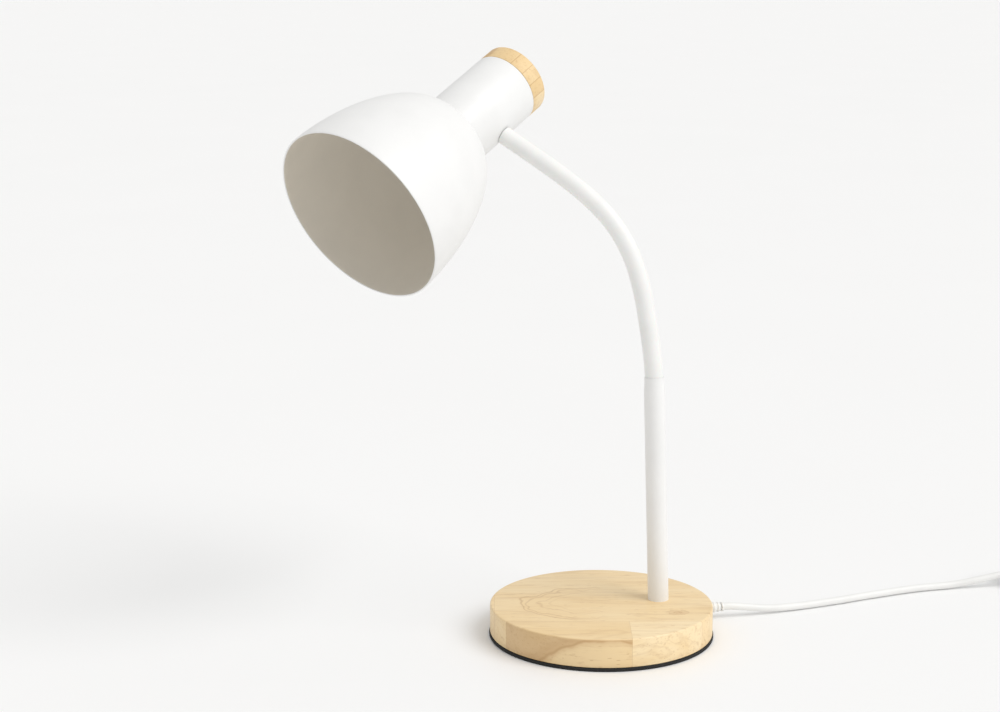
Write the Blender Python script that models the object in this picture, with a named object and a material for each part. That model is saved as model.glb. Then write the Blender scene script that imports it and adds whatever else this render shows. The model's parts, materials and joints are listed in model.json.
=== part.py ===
"""Gooseneck desk lamp: round wooden base, steel stem, flexible sleeved neck and a swivelling steel shade.

World frame: the origin is the centre of the base's underside on the desk, +Z is up, the lamp's front is -Y and
its stem and mains cord are at +Y.  Lengths are in metres and angles in degrees.
"""

from math import ceil, cos, exp, pi, radians, sin, sqrt

import bmesh
import bpy
from mathutils import Matrix, Vector

# ---------------------------------------------------------------- driving dimensions
GAP = 0.0003  # clearance kept between pieces that touch

# Base
BASE_DIAMETER = 0.150
BASE_HEIGHT = 0.0215  # desk to wooden top
BASE_EDGE_RADIUS = 0.0012
PAD_THICKNESS = 0.0020
PAD_OVERHANG = 0.0006
BASE_WALL = 0.019  # wood left around the recess
BASE_ROOF = 0.0060  # wood left above the recess
BALLAST_THICKNESS = 0.0100
BALLAST_SCREW_CIRCLE = 0.040
BALLAST_SCREW_ANGLES = (-20, -160)
BALLAST_SCREW_RADIUS = 0.0015
CLAMP_LENGTH = 0.0060
CLAMP_SCREW_SHIFT = -0.0063  # from the cord's axis
CLAMP_SCREW_RADIUS = 0.0012

# Stem
STEM_OFFSET = 0.040  # from the base's centre towards the rear
STEM_DIAMETER = 0.0140
STEM_WALL = 0.0010
STEM_HEIGHT = 0.1535  # above the wooden top
STEM_SEAT = 0.0030  # depth of its seat in the wood
STEM_PLUG = 0.0140  # length of the threaded plug welded into its foot
STEM_LEAN = 2.0  # forward, towards the head
ARM_TURN = 36.0  # the arm's plane, turned from the front towards -X
NIPPLE_DIAMETER = 0.0080
NIPPLE_BORE = 0.0056
WASHER_RADIUS = 0.0085
WASHER_THICKNESS = 0.0010
NUT_THICKNESS = 0.0035
NUT_ACROSS = 0.0130
THREAD_BEYOND_NUT = 0.0030
WIRE_DIAMETER = 0.0036  # the lamp's inner two-core wire

# Flexible neck
NECK_LENGTH = 0.204  # stem top to head
SLEEVE_DIAMETER = 0.0123
HOSE_DIAMETER = 0.0080
HOSE_BORE = 0.0056
HOSE_IN_STEM = 0.018
LINKS = 8
FIRST_HINGE = 0.012  # from the stem top, along the neck
LINK_GAP = 0.0026  # room for one link to bend against the next
EXIT_BEND = 5.5  # taken up just above the stem
EXIT_BEND_LENGTH = 0.006
MAIN_BEND = 52.5  # the neck's bow at rest
MAIN_BEND_AT = 0.097
MAIN_BEND_SPREAD = 0.020

# Head
HEAD_TURN = 57.0  # the shade's turn about the neck's end
HOUSING_DIAMETER = 0.0508
HOUSING_WALL = 0.0010
HOUSING_BELOW = 0.0297  # neck axis to the shade's shoulder
HOUSING_ABOVE = 0.0339  # neck axis to the wooden cap
SHADE_DIAMETER = 0.1258
SHADE_DEPTH = 0.0945
SHADE_FLATNESS = 1.08  # 1 makes the shade's side a quarter ellipse, and more makes it slimmer
SHADE_WALL = 0.0010
CAP_THICKNESS = 0.0132
CAP_SPIGOT = 0.0060
CAP_EDGE_RADIUS = 0.0010
HOLDER_DIAMETER = 0.0398
HOLDER_BORE = 0.0300
HOLDER_DROP = 0.0260  # below the shade's shoulder
HOLDER_TOP = -0.0110  # below the neck's axis
SCREW_SHELL_WALL = 0.0007
SADDLE_DEPTH = 0.0042  # plastic pad between the swivel's washer and the housing
SADDLE_WIDTH = 0.0180
BRACKET_THICKNESS = 0.0012
BRACKET_WIDTH = 0.0120
BRACKET_TAB = 0.0070
CAP_SCREW_RADIUS = 0.0016

# Mains cord and what is on it
CORD_DIAMETER = 0.0052
CORD_OFFSET = -0.014  # exit, towards -X from the stem
CORD_EXIT_HEIGHT = 0.0080
GLAND_REACH = 0.016  # beyond the base's radius
GLAND_RADIUS = 0.0042
GLAND_FLANGE_RADIUS = 0.0052
GLAND_FLANGE = 0.0014
COIL_CENTRE = (-0.001, 0.430)
COIL_TURN_RADIUS = 0.0312  # at the middle of its turns
COIL_TURNS_ACROSS = 4
COIL_LAYERS = 2
SWITCH_LENGTH = 0.062
SWITCH_WIDTH = 0.024
SWITCH_HEIGHT = 0.0175
SWITCH_WALL = 0.0016
SWITCH_CENTRE = (-0.040, 0.349)
SWITCH_ENTRY_HEIGHT = 0.0088
SWITCH_SCREW_RADIUS = 0.0011
ROCKER_WIDTH = 0.0100
ROCKER_LENGTH = 0.0190
ROCKER_AXIS_HEIGHT = 0.0128
ROCKER_PIN_RADIUS = 0.0010
ROCKER_TILT = 7.0  # switched off; the other end of its travel is the same angle past level
PLUG_CENTRE = (0.038, 0.374)
PLUG_LENGTH = 0.034
PLUG_WIDTH = 0.0350
PLUG_HEIGHT = 0.0137
PLUG_AXIS_HEIGHT = 0.0080
PIN_RADIUS = 0.0020
PIN_SPACING = 0.0190
PIN_REACH = 0.0190
TIE_WIDTH = 0.0100
TIE_THICKNESS = 0.0008

# Route of the cord, chosen by hand, between the gland, the switch, the coil and the plug
ROUTE_TO_SWITCH = (
    (-0.0143, 0.1060, 0.0068),
    (-0.0160, 0.1240, 0.0040),
    (-0.0190, 0.1450, 0.0029),
    (-0.0245, 0.1750, 0.0028),
    (-0.0330, 0.2100, 0.0028),
    (-0.0400, 0.2450, 0.0028),
    (-0.0420, 0.2750, 0.0030),
    (-0.0405, 0.2960, 0.0062),
)
ROUTE_TO_COIL = (
    (-0.0400, 0.3960, 0.0064),
    (-0.0400, 0.4080, 0.0046),
)
ROUTE_TO_PLUG = (
    (0.0380, 0.4088, 0.0091),
    (0.0380, 0.4040, 0.0087),
)

ROUND_LARGE = 64
ROUND_MEDIUM = 40
ROUND_SMALL = 20

# ---------------------------------------------------------------- dependent dimensions
BASE_RADIUS = BASE_DIAMETER / 2
WOOD_BOTTOM = PAD_THICKNESS + GAP
RECESS_RADIUS = BASE_RADIUS - BASE_WALL
RECESS_ROOF = BASE_HEIGHT - BASE_ROOF
STEM_RADIUS = STEM_DIAMETER / 2
STEM_BORE_RADIUS = STEM_RADIUS - STEM_WALL
SPOT_FACE = BASE_ROOF - 0.0008  # the washer's seat, below the wooden top
CLAMP_LOW_Y = STEM_OFFSET
CLAMP_HIGH_Y = CLAMP_LOW_Y + CLAMP_LENGTH
TERMINAL_LOW_Y = STEM_OFFSET - 0.019
TERMINAL_HIGH_Y = STEM_OFFSET - 0.010
TERMINAL_MIDDLE_Y = (TERMINAL_LOW_Y + TERMINAL_HIGH_Y) / 2
TERMINAL_HALF_WIDTH = 0.0060
NIPPLE_RADIUS = NIPPLE_DIAMETER / 2
SLEEVE_RADIUS = SLEEVE_DIAMETER / 2
HOSE_RADIUS = HOSE_DIAMETER / 2
HOUSING_RADIUS = HOUSING_DIAMETER / 2
HOUSING_BORE_RADIUS = HOUSING_RADIUS - HOUSING_WALL
SHADE_RADIUS = SHADE_DIAMETER / 2
HOLDER_RADIUS = HOLDER_DIAMETER / 2
HOLDER_HOLE_RADIUS = HOLDER_RADIUS + GAP
LINK_PITCH = (NECK_LENGTH - FIRST_HINGE) / LINKS
CORD_RADIUS = CORD_DIAMETER / 2
STUB_IN_SLEEVE = 0.010
STUB_IN_HEAD = HOUSING_WALL + SADDLE_DEPTH + WASHER_THICKNESS + NUT_THICKNESS + THREAD_BEYOND_NUT
COIL_LIFT = TIE_THICKNESS + 0.0001  # room for the tie's band under the coil


# ---------------------------------------------------------------- shape helpers
def material(name, colour, roughness, metallic=0.0):
    made = bpy.data.materials.get(name) or bpy.data.materials.new(name)
    made.use_nodes = True
    shader = made.node_tree.nodes["Principled BSDF"]
    shader.inputs["Base Color"].default_value = (*colour, 1.0)
    shader.inputs["Roughness"].default_value = roughness
    shader.inputs["Metallic"].default_value = metallic
    return made


def new_object(name, bm, paint, frame, parent=None):
    """An object whose mesh is in frame's coordinates; parent is an empty that shares that frame."""
    bmesh.ops.recalc_face_normals(bm, faces=bm.faces)
    mesh = bpy.data.meshes.new(name)
    bm.to_mesh(mesh)
    bm.free()
    mesh.shade_smooth()
    mesh.set_sharp_from_angle(angle=radians(35))
    mesh.materials.append(paint)
    made = bpy.data.objects.new(name, mesh)
    bpy.context.scene.collection.objects.link(made)
    if parent is None:
        made.matrix_basis = frame
    else:
        made.parent = parent
    return made


def empty(name, world, parent=None, parent_world=None):
    made = bpy.data.objects.new(name, None)
    made.empty_display_size = 0.01
    bpy.context.scene.collection.objects.link(made)
    made.parent = parent
    made.matrix_basis = parent_world.inverted() @ world if parent else world
    return made


def turned(outline, segments, closed=True):
    """A turned solid about Z. outline holds (radius, z) points; an open one starts and ends on the axis."""
    bm = bmesh.new()
    verts = [bm.verts.new((radius, 0.0, z)) for radius, z in outline]
    edges = [bm.edges.new(pair) for pair in zip(verts, verts[1:])]
    if closed:
        edges.append(bm.edges.new((verts[-1], verts[0])))
    bmesh.ops.spin(
        bm,
        geom=verts + edges,
        axis=(0, 0, 1),
        cent=(0, 0, 0),
        angle=2 * pi,
        steps=segments,
        use_merge=True,
    )
    bmesh.ops.remove_doubles(bm, verts=bm.verts, dist=1e-7)
    return bm


def disc(radius, low, high, segments=ROUND_SMALL):
    return turned([(0, low), (radius, low), (radius, high), (0, high)], segments, closed=False)


def tube(outer, inner, low, high, segments=ROUND_SMALL):
    return turned([(outer, high), (outer, low), (inner, low), (inner, high)], segments)


def block(low, high):
    bm = bmesh.new()
    bmesh.ops.create_cube(bm, size=1.0)
    size = Vector(high) - Vector(low)
    bmesh.ops.scale(bm, vec=size, verts=bm.verts)
    bmesh.ops.translate(bm, vec=Vector(low) + size / 2, verts=bm.verts)
    return bm


def prism(outline, low, high):
    """An outline of (x, y) points, extruded along Z."""
    bm = bmesh.new()
    face = bm.faces.new([bm.verts.new((x, y, low)) for x, y in outline])
    grown = bmesh.ops.extrude_face_region(bm, geom=[face])
    moved = [item for item in grown["geom"] if isinstance(item, bmesh.types.BMVert)]
    bmesh.ops.translate(bm, vec=(0, 0, high - low), verts=moved)
    return bm


def hexagon(across_flats):
    radius = across_flats / sqrt(3)
    return [(radius * cos(radians(60 * k)), radius * sin(radians(60 * k))) for k in range(6)]


def rounded_rectangle(width, length, radius, steps=4):
    points = []
    for quarter, (sx, sy) in enumerate(((1, 1), (-1, 1), (-1, -1), (1, -1))):
        cx = sx * (width / 2 - radius)
        cy = sy * (length / 2 - radius)
        for k in range(steps + 1):
            angle = radians(90 * (quarter + k / steps))
            points.append((cx + radius * cos(angle), cy + radius * sin(angle)))
    return points


def join(*parts):
    """Several separate shapes in one mesh."""
    bm = bmesh.new()
    for part in parts:
        mesh = bpy.data.meshes.new("joined")
        part.to_mesh(mesh)
        part.free()
        bm.from_mesh(mesh)
        bpy.data.meshes.remove(mesh)
    return bm


def moved(bm, matrix):
    bmesh.ops.transform(bm, matrix=matrix, verts=bm.verts)
    return bm


def cut(target, name, bm, frame=None, operation="DIFFERENCE"):
    """Cuts (or joins) a shape given in the target's own coordinates, or in frame."""
    tool = new_object(f"{target.name}_{name}", bm, target.data.materials[0], Matrix.Identity(4))
    if frame is None:
        tool.parent = target
    else:
        tool.matrix_basis = frame
    tool.hide_render = True
    tool.display_type = "WIRE"
    step = target.modifiers.new(name, "BOOLEAN")
    step.operation = operation
    step.solver = "EXACT"
    step.object = tool


def between(a, b, c, d, share):
    """A point between b and c on the centripetal Catmull-Rom curve through a, b, c and d."""
    knots = [0.0]
    for p, q in ((a, b), (b, c), (c, d)):
        knots.append(knots[-1] + sqrt((q - p).length))
    at = knots[1] + share * (knots[2] - knots[1])
    level = [p.lerp(q, (at - s) / (t - s)) for p, q, s, t in zip((a, b, c), (b, c, d), knots, knots[1:])]
    level = [p.lerp(q, (at - s) / (t - s)) for p, q, s, t in zip(level, level[1:], knots, knots[2:])]
    return level[0].lerp(level[1], share)


def smooth_points(points, spacing):
    """Points about a given spacing apart on a smooth curve through the route's points.

    The route's first and last steps stay straight, so that a cord meets each piece square to its face.
    """
    route = [Vector(p) for p in points]
    fine = []
    for a, b, c, d in zip(route, route[1:], route[2:], route[3:]):
        fine += [between(a, b, c, d, k / 24) for k in range(24)]
    fine.append(route[-2])
    total = sum((q - p).length for p, q in zip(fine, fine[1:]))
    step = total / max(2, ceil(total / spacing))
    out = [route[0], fine[0]]
    travelled = 0.0
    for p, q in zip(fine, fine[1:]):
        length = (q - p).length
        due = step * (len(out) - 1)
        if travelled < due <= travelled + length and due < total - step / 2:
            out.append(p.lerp(q, (due - travelled) / length))
        travelled += length
    return [*out, route[-2], route[-1]]


def cord_tube(name, route, diameter, paint, resolution=2):
    curve = bpy.data.curves.new(name, "CURVE")
    curve.dimensions = "3D"
    curve.bevel_depth = diameter / 2
    curve.bevel_resolution = resolution
    curve.use_fill_caps = True
    points = smooth_points(route, 2.5 * diameter)
    spline = curve.splines.new("POLY")
    spline.points.add(len(points) - 1)
    for target, point in zip(spline.points, points):
        target.co = (*point, 1.0)
    spline.use_smooth = True
    curve.materials.append(paint)
    made = bpy.data.objects.new(name, curve)
    bpy.context.scene.collection.objects.link(made)
    return made


# ---------------------------------------------------------------- the arm's centreline
def stem_frame():
    """Origin at the stem's foot on the wooden top, +Z up the stem, +X forward in the arm's plane."""
    foot = Matrix.Translation((0, STEM_OFFSET, BASE_HEIGHT))
    turn = Matrix.Rotation(radians(270 - ARM_TURN), 4, "Z")
    return foot @ turn @ Matrix.Rotation(radians(STEM_LEAN), 4, "Y")


def neck_angle(s):
    """The neck's angle from upright at a distance s above the stem's top."""
    leaving = EXIT_BEND * (1 - exp(-s / EXIT_BEND_LENGTH)) if s > 0 else 0.0
    bow = MAIN_BEND / (1 + exp(-(s - MAIN_BEND_AT) / MAIN_BEND_SPREAD)) if s > 0 else 0.0
    return STEM_LEAN + leaving + bow


def neck_frame(s):
    """The neck's frame at s: +Z along it, +X down and forward in its plane, +Y across."""
    top = stem_frame() @ Matrix.Translation((0, 0, STEM_HEIGHT))
    steps = max(1, ceil(abs(s) / 0.001))
    ahead = up = 0.0
    for k in range(steps):
        angle = radians(neck_angle(s * (k + 0.5) / steps))
        ahead += sin(angle) * s / steps
        up += cos(angle) * s / steps
    plane = Matrix.Rotation(radians(270 - ARM_TURN), 4, "Z")
    origin = top.to_translation() + plane.to_3x3() @ Vector((ahead, 0, up))
    return Matrix.Translation(origin) @ plane @ Matrix.Rotation(radians(neck_angle(s)), 4, "Y")


def hinge_at(link):
    """Distance of a link's hinge above the stem's top; link 1 is the lowest."""
    return FIRST_HINGE + (link - 1) * LINK_PITCH


def head_frame():
    """Origin where the neck's end axis meets the shade's, +X along the neck's end, +Z towards the cap."""
    reach = Matrix.Translation((0, 0, HOUSING_RADIUS + GAP))
    turn = Matrix.Rotation(radians(HEAD_TURN), 4, "Z")
    return neck_frame(NECK_LENGTH) @ reach @ turn @ Matrix.Rotation(radians(-90), 4, "Y")


def neck_tube(start, end, outer, inner, frame, sides=14):
    """A tube along the neck's centreline, in frame's coordinates."""
    bm = bmesh.new()
    inverse = frame.inverted()
    count = max(1, ceil((end - start) / 0.0075))
    walls = []
    for radius in (outer, inner):
        rings = []
        for k in range(count + 1):
            place = inverse @ neck_frame(start + (end - start) * k / count)
            ring = []
            for j in range(sides):
                angle = 2 * pi * j / sides
                ring.append(bm.verts.new(place @ Vector((radius * cos(angle), radius * sin(angle), 0))))
            rings.append(ring)
        for low, high in zip(rings, rings[1:]):
            for j in range(sides):
                bm.faces.new((low[j], low[j - 1], high[j - 1], high[j]))
        walls.append(rings)
    for end_ring in (0, -1):
        outside, inside = walls[0][end_ring], walls[1][end_ring]
        for j in range(sides):
            bm.faces.new((outside[j], outside[j - 1], inside[j - 1], inside[j]))
    return bm


# ---------------------------------------------------------------- base
def build_base(paints):
    here = Matrix.Identity(4)
    pad_radius = BASE_RADIUS + PAD_OVERHANG
    new_object("base_pad", disc(pad_radius, 0.0, PAD_THICKNESS, ROUND_LARGE), paints["foam"], here)

    edge = BASE_EDGE_RADIUS
    outline = [(0, RECESS_ROOF), (RECESS_RADIUS, RECESS_ROOF), (RECESS_RADIUS, WOOD_BOTTOM)]
    outline += [(BASE_RADIUS - edge / 2, WOOD_BOTTOM), (BASE_RADIUS, WOOD_BOTTOM + edge / 2)]
    for k in range(4):
        angle = radians(30 * k)
        outline.append((BASE_RADIUS - edge * (1 - cos(angle)), BASE_HEIGHT - edge * (1 - sin(angle))))
    outline.append((0, BASE_HEIGHT))
    wood = new_object("base_disc", turned(outline, ROUND_LARGE, closed=False), paints["wood"], here)

    seat = disc(STEM_RADIUS + GAP, -STEM_SEAT, STEM_SEAT, ROUND_SMALL)
    cut(wood, "stem_seat", seat, stem_frame())
    bore = disc(NIPPLE_RADIUS + GAP, -BASE_HEIGHT, STEM_SEAT, ROUND_SMALL)
    cut(wood, "nipple_bore", bore, stem_frame())
    spot = disc(WASHER_RADIUS + 4 * GAP, -BASE_ROOF - 0.004, -SPOT_FACE, ROUND_SMALL)
    cut(wood, "spot_face", spot, stem_frame())
    cord_hole = disc(GLAND_RADIUS + GAP, RECESS_RADIUS / 2, 2 * BASE_RADIUS, ROUND_SMALL)
    cut(wood, "cord_hole", cord_hole, cord_axis())
    pilots = []
    for at in (*ballast_screw_places(), clamp_screw_place()):
        pilot = disc(BALLAST_SCREW_RADIUS + GAP, RECESS_ROOF - 0.002, RECESS_ROOF + 0.0035, 12)
        pilots.append(moved(pilot, Matrix.Translation(at)))
    cut(wood, "pilot_holes", join(*pilots))


def cord_axis():
    """Origin on the base's Y=0 plane at the cord's offset and height, +Z along the cord's exit (+Y)."""
    return Matrix.Translation((CORD_OFFSET, 0, CORD_EXIT_HEIGHT)) @ Matrix.Rotation(radians(-90), 4, "X")


def ballast_screw_places():
    """Where the ballast plate's screws stand, on the base's Z=0 plane."""
    radius = BALLAST_SCREW_CIRCLE
    return [Vector((radius * cos(radians(a)), radius * sin(radians(a)), 0)) for a in BALLAST_SCREW_ANGLES]


def clamp_screw_place():
    return Vector((CORD_OFFSET + CLAMP_SCREW_SHIFT, (CLAMP_LOW_Y + CLAMP_HIGH_Y) / 2, 0))


def screw(head_radius, shank_radius, head_low, head_high, tip):
    """A pan-head screw pointing up +Z."""
    outline = [
        (0, head_low),
        (head_radius * 0.75, head_low),
        (head_radius, (head_low + head_high) / 2),
        (head_radius, head_high),
        (shank_radius, head_high),
        (shank_radius, tip - shank_radius),
        (0, tip),
    ]
    return turned(outline, 12, closed=False)


def build_base_inside(paints):
    here = Matrix.Identity(4)
    ballast_top = RECESS_ROOF - GAP
    ballast_low = ballast_top - BALLAST_THICKNESS
    ballast_radius = RECESS_RADIUS - 2 * GAP - 0.001
    ballast = new_object(
        "ballast_plate", disc(ballast_radius, ballast_low, ballast_top, ROUND_LARGE), paints["dark_steel"], here
    )
    notch = block(
        (CORD_OFFSET - 0.0125, STEM_OFFSET - 0.022, 0.0),
        (WASHER_RADIUS + 0.0035, BASE_RADIUS, BASE_HEIGHT),
    )
    cut(ballast, "wiring_notch", notch)
    holes = [
        moved(disc(BALLAST_SCREW_RADIUS + GAP, 0.0, BASE_HEIGHT, 12), Matrix.Translation(at))
        for at in ballast_screw_places()
    ]
    cut(ballast, "screw_holes", join(*holes))

    heads_top = ballast_low - GAP
    for number, at in enumerate(ballast_screw_places(), start=1):
        fixing = screw(0.0032, BALLAST_SCREW_RADIUS, heads_top - 0.0019, heads_top, RECESS_ROOF + 0.0030)
        moved(fixing, Matrix.Translation(at))
        new_object(f"ballast_screw_{number}", fixing, paints["bright_steel"], here)

    clamp_low = CORD_EXIT_HEIGHT - CORD_RADIUS - GAP - 0.0016
    clamp = new_object(
        "cord_clamp",
        block(
            (CORD_OFFSET - 0.0090, CLAMP_LOW_Y, clamp_low),
            (CORD_OFFSET + 0.0044, CLAMP_HIGH_Y, RECESS_ROOF - GAP),
        ),
        paints["black_plastic"],
        here,
    )
    groove = disc(CORD_RADIUS + GAP, 0.0, BASE_RADIUS, ROUND_SMALL)
    cut(clamp, "cord_groove", groove, cord_axis())
    slot = block(
        (CORD_OFFSET - CORD_RADIUS - GAP, 0.0, CORD_EXIT_HEIGHT),
        (CORD_OFFSET + CORD_RADIUS + GAP, BASE_RADIUS, BASE_HEIGHT),
    )
    cut(clamp, "slot", slot)
    hole = moved(disc(CLAMP_SCREW_RADIUS + GAP, 0.0, BASE_HEIGHT, 12), Matrix.Translation(clamp_screw_place()))
    cut(clamp, "screw_hole", hole)
    head_high = clamp_low - GAP
    fixing = screw(2 * CLAMP_SCREW_RADIUS, CLAMP_SCREW_RADIUS, head_high - 0.0008, head_high, RECESS_ROOF + 0.0030)
    moved(fixing, Matrix.Translation(clamp_screw_place()))
    new_object("clamp_screw", fixing, paints["bright_steel"], here)

    terminal = block(
        (CORD_OFFSET - TERMINAL_HALF_WIDTH, TERMINAL_LOW_Y, 0.0052),
        (CORD_OFFSET + TERMINAL_HALF_WIDTH, TERMINAL_HIGH_Y, RECESS_ROOF - GAP),
    )
    bmesh.ops.bevel(terminal, geom=terminal.edges[:], offset=0.0006, segments=1, affect="EDGES")
    new_object("terminal_block", terminal, paints["white_plastic"], here)


def build_gland(paints):
    """The strain relief, turned about the cord's exit axis."""
    recess_at_flange = sqrt(RECESS_RADIUS**2 - (abs(CORD_OFFSET) + GLAND_FLANGE_RADIUS) ** 2)
    flange_high = recess_at_flange - GAP
    flange_low = flange_high - GLAND_FLANGE
    bore = CORD_RADIUS + GAP
    outside = BASE_RADIUS + 0.0005
    tip = BASE_RADIUS + GLAND_REACH
    outline = [
        (bore, flange_low),
        (GLAND_FLANGE_RADIUS, flange_low),
        (GLAND_FLANGE_RADIUS, flange_high),
        (GLAND_RADIUS, flange_high),
        (GLAND_RADIUS, outside),
        (GLAND_RADIUS - 0.0004, outside + 0.002),
        (bore + 0.0006, tip),
        (bore, tip),
    ]
    new_object("cord_gland", turned(outline, ROUND_SMALL), paints["white_plastic"], cord_axis())
    inner_end = TERMINAL_HIGH_Y + GAP
    stops = [inner_end + share * (tip - GAP - inner_end) for share in (0.0, 0.2, 0.8, 1.0)]
    tail = [(CORD_OFFSET, y, CORD_EXIT_HEIGHT) for y in stops]
    cord_tube("mains_cord_tail", tail, CORD_DIAMETER, paints["cord"])


# ---------------------------------------------------------------- stem
def build_stem(paints):
    frame = stem_frame()
    axis = empty("stem_axis", frame)
    low = -STEM_SEAT + GAP
    outline = [
        (STEM_RADIUS, STEM_HEIGHT),
        (STEM_RADIUS, low),
        (NIPPLE_RADIUS + GAP, low),
        (NIPPLE_RADIUS + GAP, low + STEM_PLUG),
        (STEM_BORE_RADIUS, low + STEM_PLUG),
        (STEM_BORE_RADIUS, STEM_HEIGHT),
    ]
    new_object("stem_tube", turned(outline, 24), paints["white_paint"], frame, axis)

    washer_top = -SPOT_FACE - GAP
    nut_top = washer_top - WASHER_THICKNESS - GAP
    nut_low = nut_top - NUT_THICKNESS
    nipple_low = nut_low - 0.0012
    nipple = tube(NIPPLE_RADIUS, NIPPLE_BORE / 2, nipple_low, low + 0.012, 16)
    new_object("stem_nipple", nipple, paints["bright_steel"], frame, axis)
    washer = tube(WASHER_RADIUS, NIPPLE_RADIUS + GAP, washer_top - WASHER_THICKNESS, washer_top, ROUND_SMALL)
    new_object("stem_washer", washer, paints["bright_steel"], frame, axis)
    nut = new_object(
        "stem_nut", prism(hexagon(NUT_ACROSS), nut_low, nut_top), paints["bright_steel"], frame, axis
    )
    cut(nut, "bore", disc(NIPPLE_RADIUS + GAP, -BASE_HEIGHT, 0.0, 16))

    bush = tube(STEM_BORE_RADIUS - GAP, HOSE_RADIUS + GAP, STEM_HEIGHT - HOSE_IN_STEM, STEM_HEIGHT - GAP)
    new_object("hose_bush", bush, paints["bright_steel"], frame, axis)

    wire_end = neck_frame(FIRST_HINGE - LINK_GAP)
    centre = frame.to_translation()
    down = -frame.col[2].to_3d()
    exit_point = centre - down * nipple_low
    route = [
        (CORD_OFFSET + TERMINAL_HALF_WIDTH + GAP, TERMINAL_MIDDLE_Y, 0.0090),
        (CORD_OFFSET + TERMINAL_HALF_WIDTH + 0.0025, TERMINAL_MIDDLE_Y, 0.0090),
        (exit_point.x - 0.0008, STEM_OFFSET - 0.0065, 0.0050),
        (exit_point.x, exit_point.y - 0.0012, 0.0056),
        exit_point,
        centre - down * 0.004,
        centre - down * STEM_HEIGHT / 2,
        centre - down * (STEM_HEIGHT - 0.004),
        wire_end.to_translation(),
    ]
    cord_tube("lamp_wire", route, WIRE_DIAMETER, paints["wire"], resolution=1)


# ---------------------------------------------------------------- flexible neck
def build_neck(paints):
    """The fixed lower end and the links, each an empty on its own hinge."""
    half = LINK_GAP / 2
    frame = neck_frame(0)
    fixed = empty("neck_foot", frame)
    hose = neck_tube(-HOSE_IN_STEM, FIRST_HINGE - half, HOSE_RADIUS, HOSE_BORE / 2, frame, 12)
    new_object("hose_root", hose, paints["bright_steel"], frame, fixed)
    sleeve = neck_tube(GAP, FIRST_HINGE - half, SLEEVE_RADIUS, HOSE_RADIUS + GAP, frame)
    new_object("sleeve_root", sleeve, paints["sleeve"], frame, fixed)

    below, below_world = fixed, frame
    for link in range(1, LINKS + 1):
        start = hinge_at(link) + half
        end = hinge_at(link + 1) - half if link < LINKS else NECK_LENGTH
        hose_end = end if link < LINKS else NECK_LENGTH - STUB_IN_SLEEVE - GAP
        frame = neck_frame(hinge_at(link))
        pivot = empty(f"link_{link}_pivot", frame, below, below_world)
        hose = neck_tube(start, hose_end, HOSE_RADIUS, HOSE_BORE / 2, frame, 12)
        new_object(f"hose_{link}", hose, paints["bright_steel"], frame, pivot)
        sleeve = neck_tube(start, end, SLEEVE_RADIUS, HOSE_RADIUS + GAP, frame)
        new_object(f"sleeve_{link}", sleeve, paints["sleeve"], frame, pivot)
        below, below_world = pivot, frame

    end = empty("neck_end", neck_frame(NECK_LENGTH), below, below_world)
    end_frame = neck_frame(NECK_LENGTH)
    stub = tube(NIPPLE_RADIUS, NIPPLE_BORE / 2, -STUB_IN_SLEEVE, STUB_IN_HEAD, 16)
    new_object("swivel_stub", stub, paints["bright_steel"], end_frame, end)
    washer_low = GAP + HOUSING_WALL + SADDLE_DEPTH + 2 * GAP
    washer_high = washer_low + WASHER_THICKNESS
    washer = tube(WASHER_RADIUS, NIPPLE_RADIUS + GAP, washer_low, washer_high, ROUND_SMALL)
    new_object("swivel_washer", washer, paints["bright_steel"], end_frame, end)
    nut_low = washer_high + GAP
    nut = new_object(
        "swivel_nut",
        prism(hexagon(NUT_ACROSS), nut_low, nut_low + NUT_THICKNESS),
        paints["bright_steel"],
        end_frame,
        end,
    )
    cut(nut, "bore", disc(NIPPLE_RADIUS + GAP, 0.0, 0.05, 16))
    return end


# ---------------------------------------------------------------- head
def build_head(paints, neck_end):
    """Everything in the head is in the head frame and hangs from an empty on the swivel axis."""
    frame = head_frame()
    pivot = empty("head_pivot", frame, neck_end, neck_frame(NECK_LENGTH))
    shoulder = -HOUSING_BELOW

    low = shoulder + GAP
    high = HOUSING_ABOVE - GAP
    outline = [
        (HOUSING_RADIUS, high),
        (HOUSING_RADIUS, low),
        (HOLDER_HOLE_RADIUS, low),
        (HOLDER_HOLE_RADIUS, low + HOUSING_WALL),
        (HOUSING_BORE_RADIUS, low + HOUSING_WALL),
        (HOUSING_BORE_RADIUS, high),
    ]
    housing = new_object("neck_housing", turned(outline, ROUND_MEDIUM + 8), paints["white_paint"], frame, pivot)
    to_side = Matrix.Rotation(radians(-90), 4, "Y")
    hole = moved(disc(NIPPLE_RADIUS + 2 * GAP, 0.0, 2 * HOUSING_RADIUS, ROUND_SMALL), to_side)
    cut(housing, "neck_hole", hole)

    saddle_high = HOUSING_RADIUS - HOUSING_WALL - GAP
    saddle = new_object(
        "swivel_saddle",
        disc(saddle_high, -SADDLE_WIDTH / 2, SADDLE_WIDTH / 2, ROUND_MEDIUM + 8),
        paints["black_plastic"],
        frame,
        pivot,
    )
    keep = block(
        (-HOUSING_DIAMETER, -SADDLE_WIDTH / 2, -HOUSING_RADIUS),
        (-(saddle_high - SADDLE_DEPTH + GAP), SADDLE_WIDTH / 2, HOUSING_RADIUS),
    )
    cut(saddle, "flats", keep, operation="INTERSECT")
    through = moved(disc(NIPPLE_RADIUS + 2 * GAP, 0.0, 2 * HOUSING_RADIUS, ROUND_SMALL), to_side)
    cut(saddle, "bore", through)

    build_shade(paints, frame, pivot, shoulder)
    build_holder(paints, frame, pivot, shoulder)
    build_cap(paints, frame, pivot)


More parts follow.
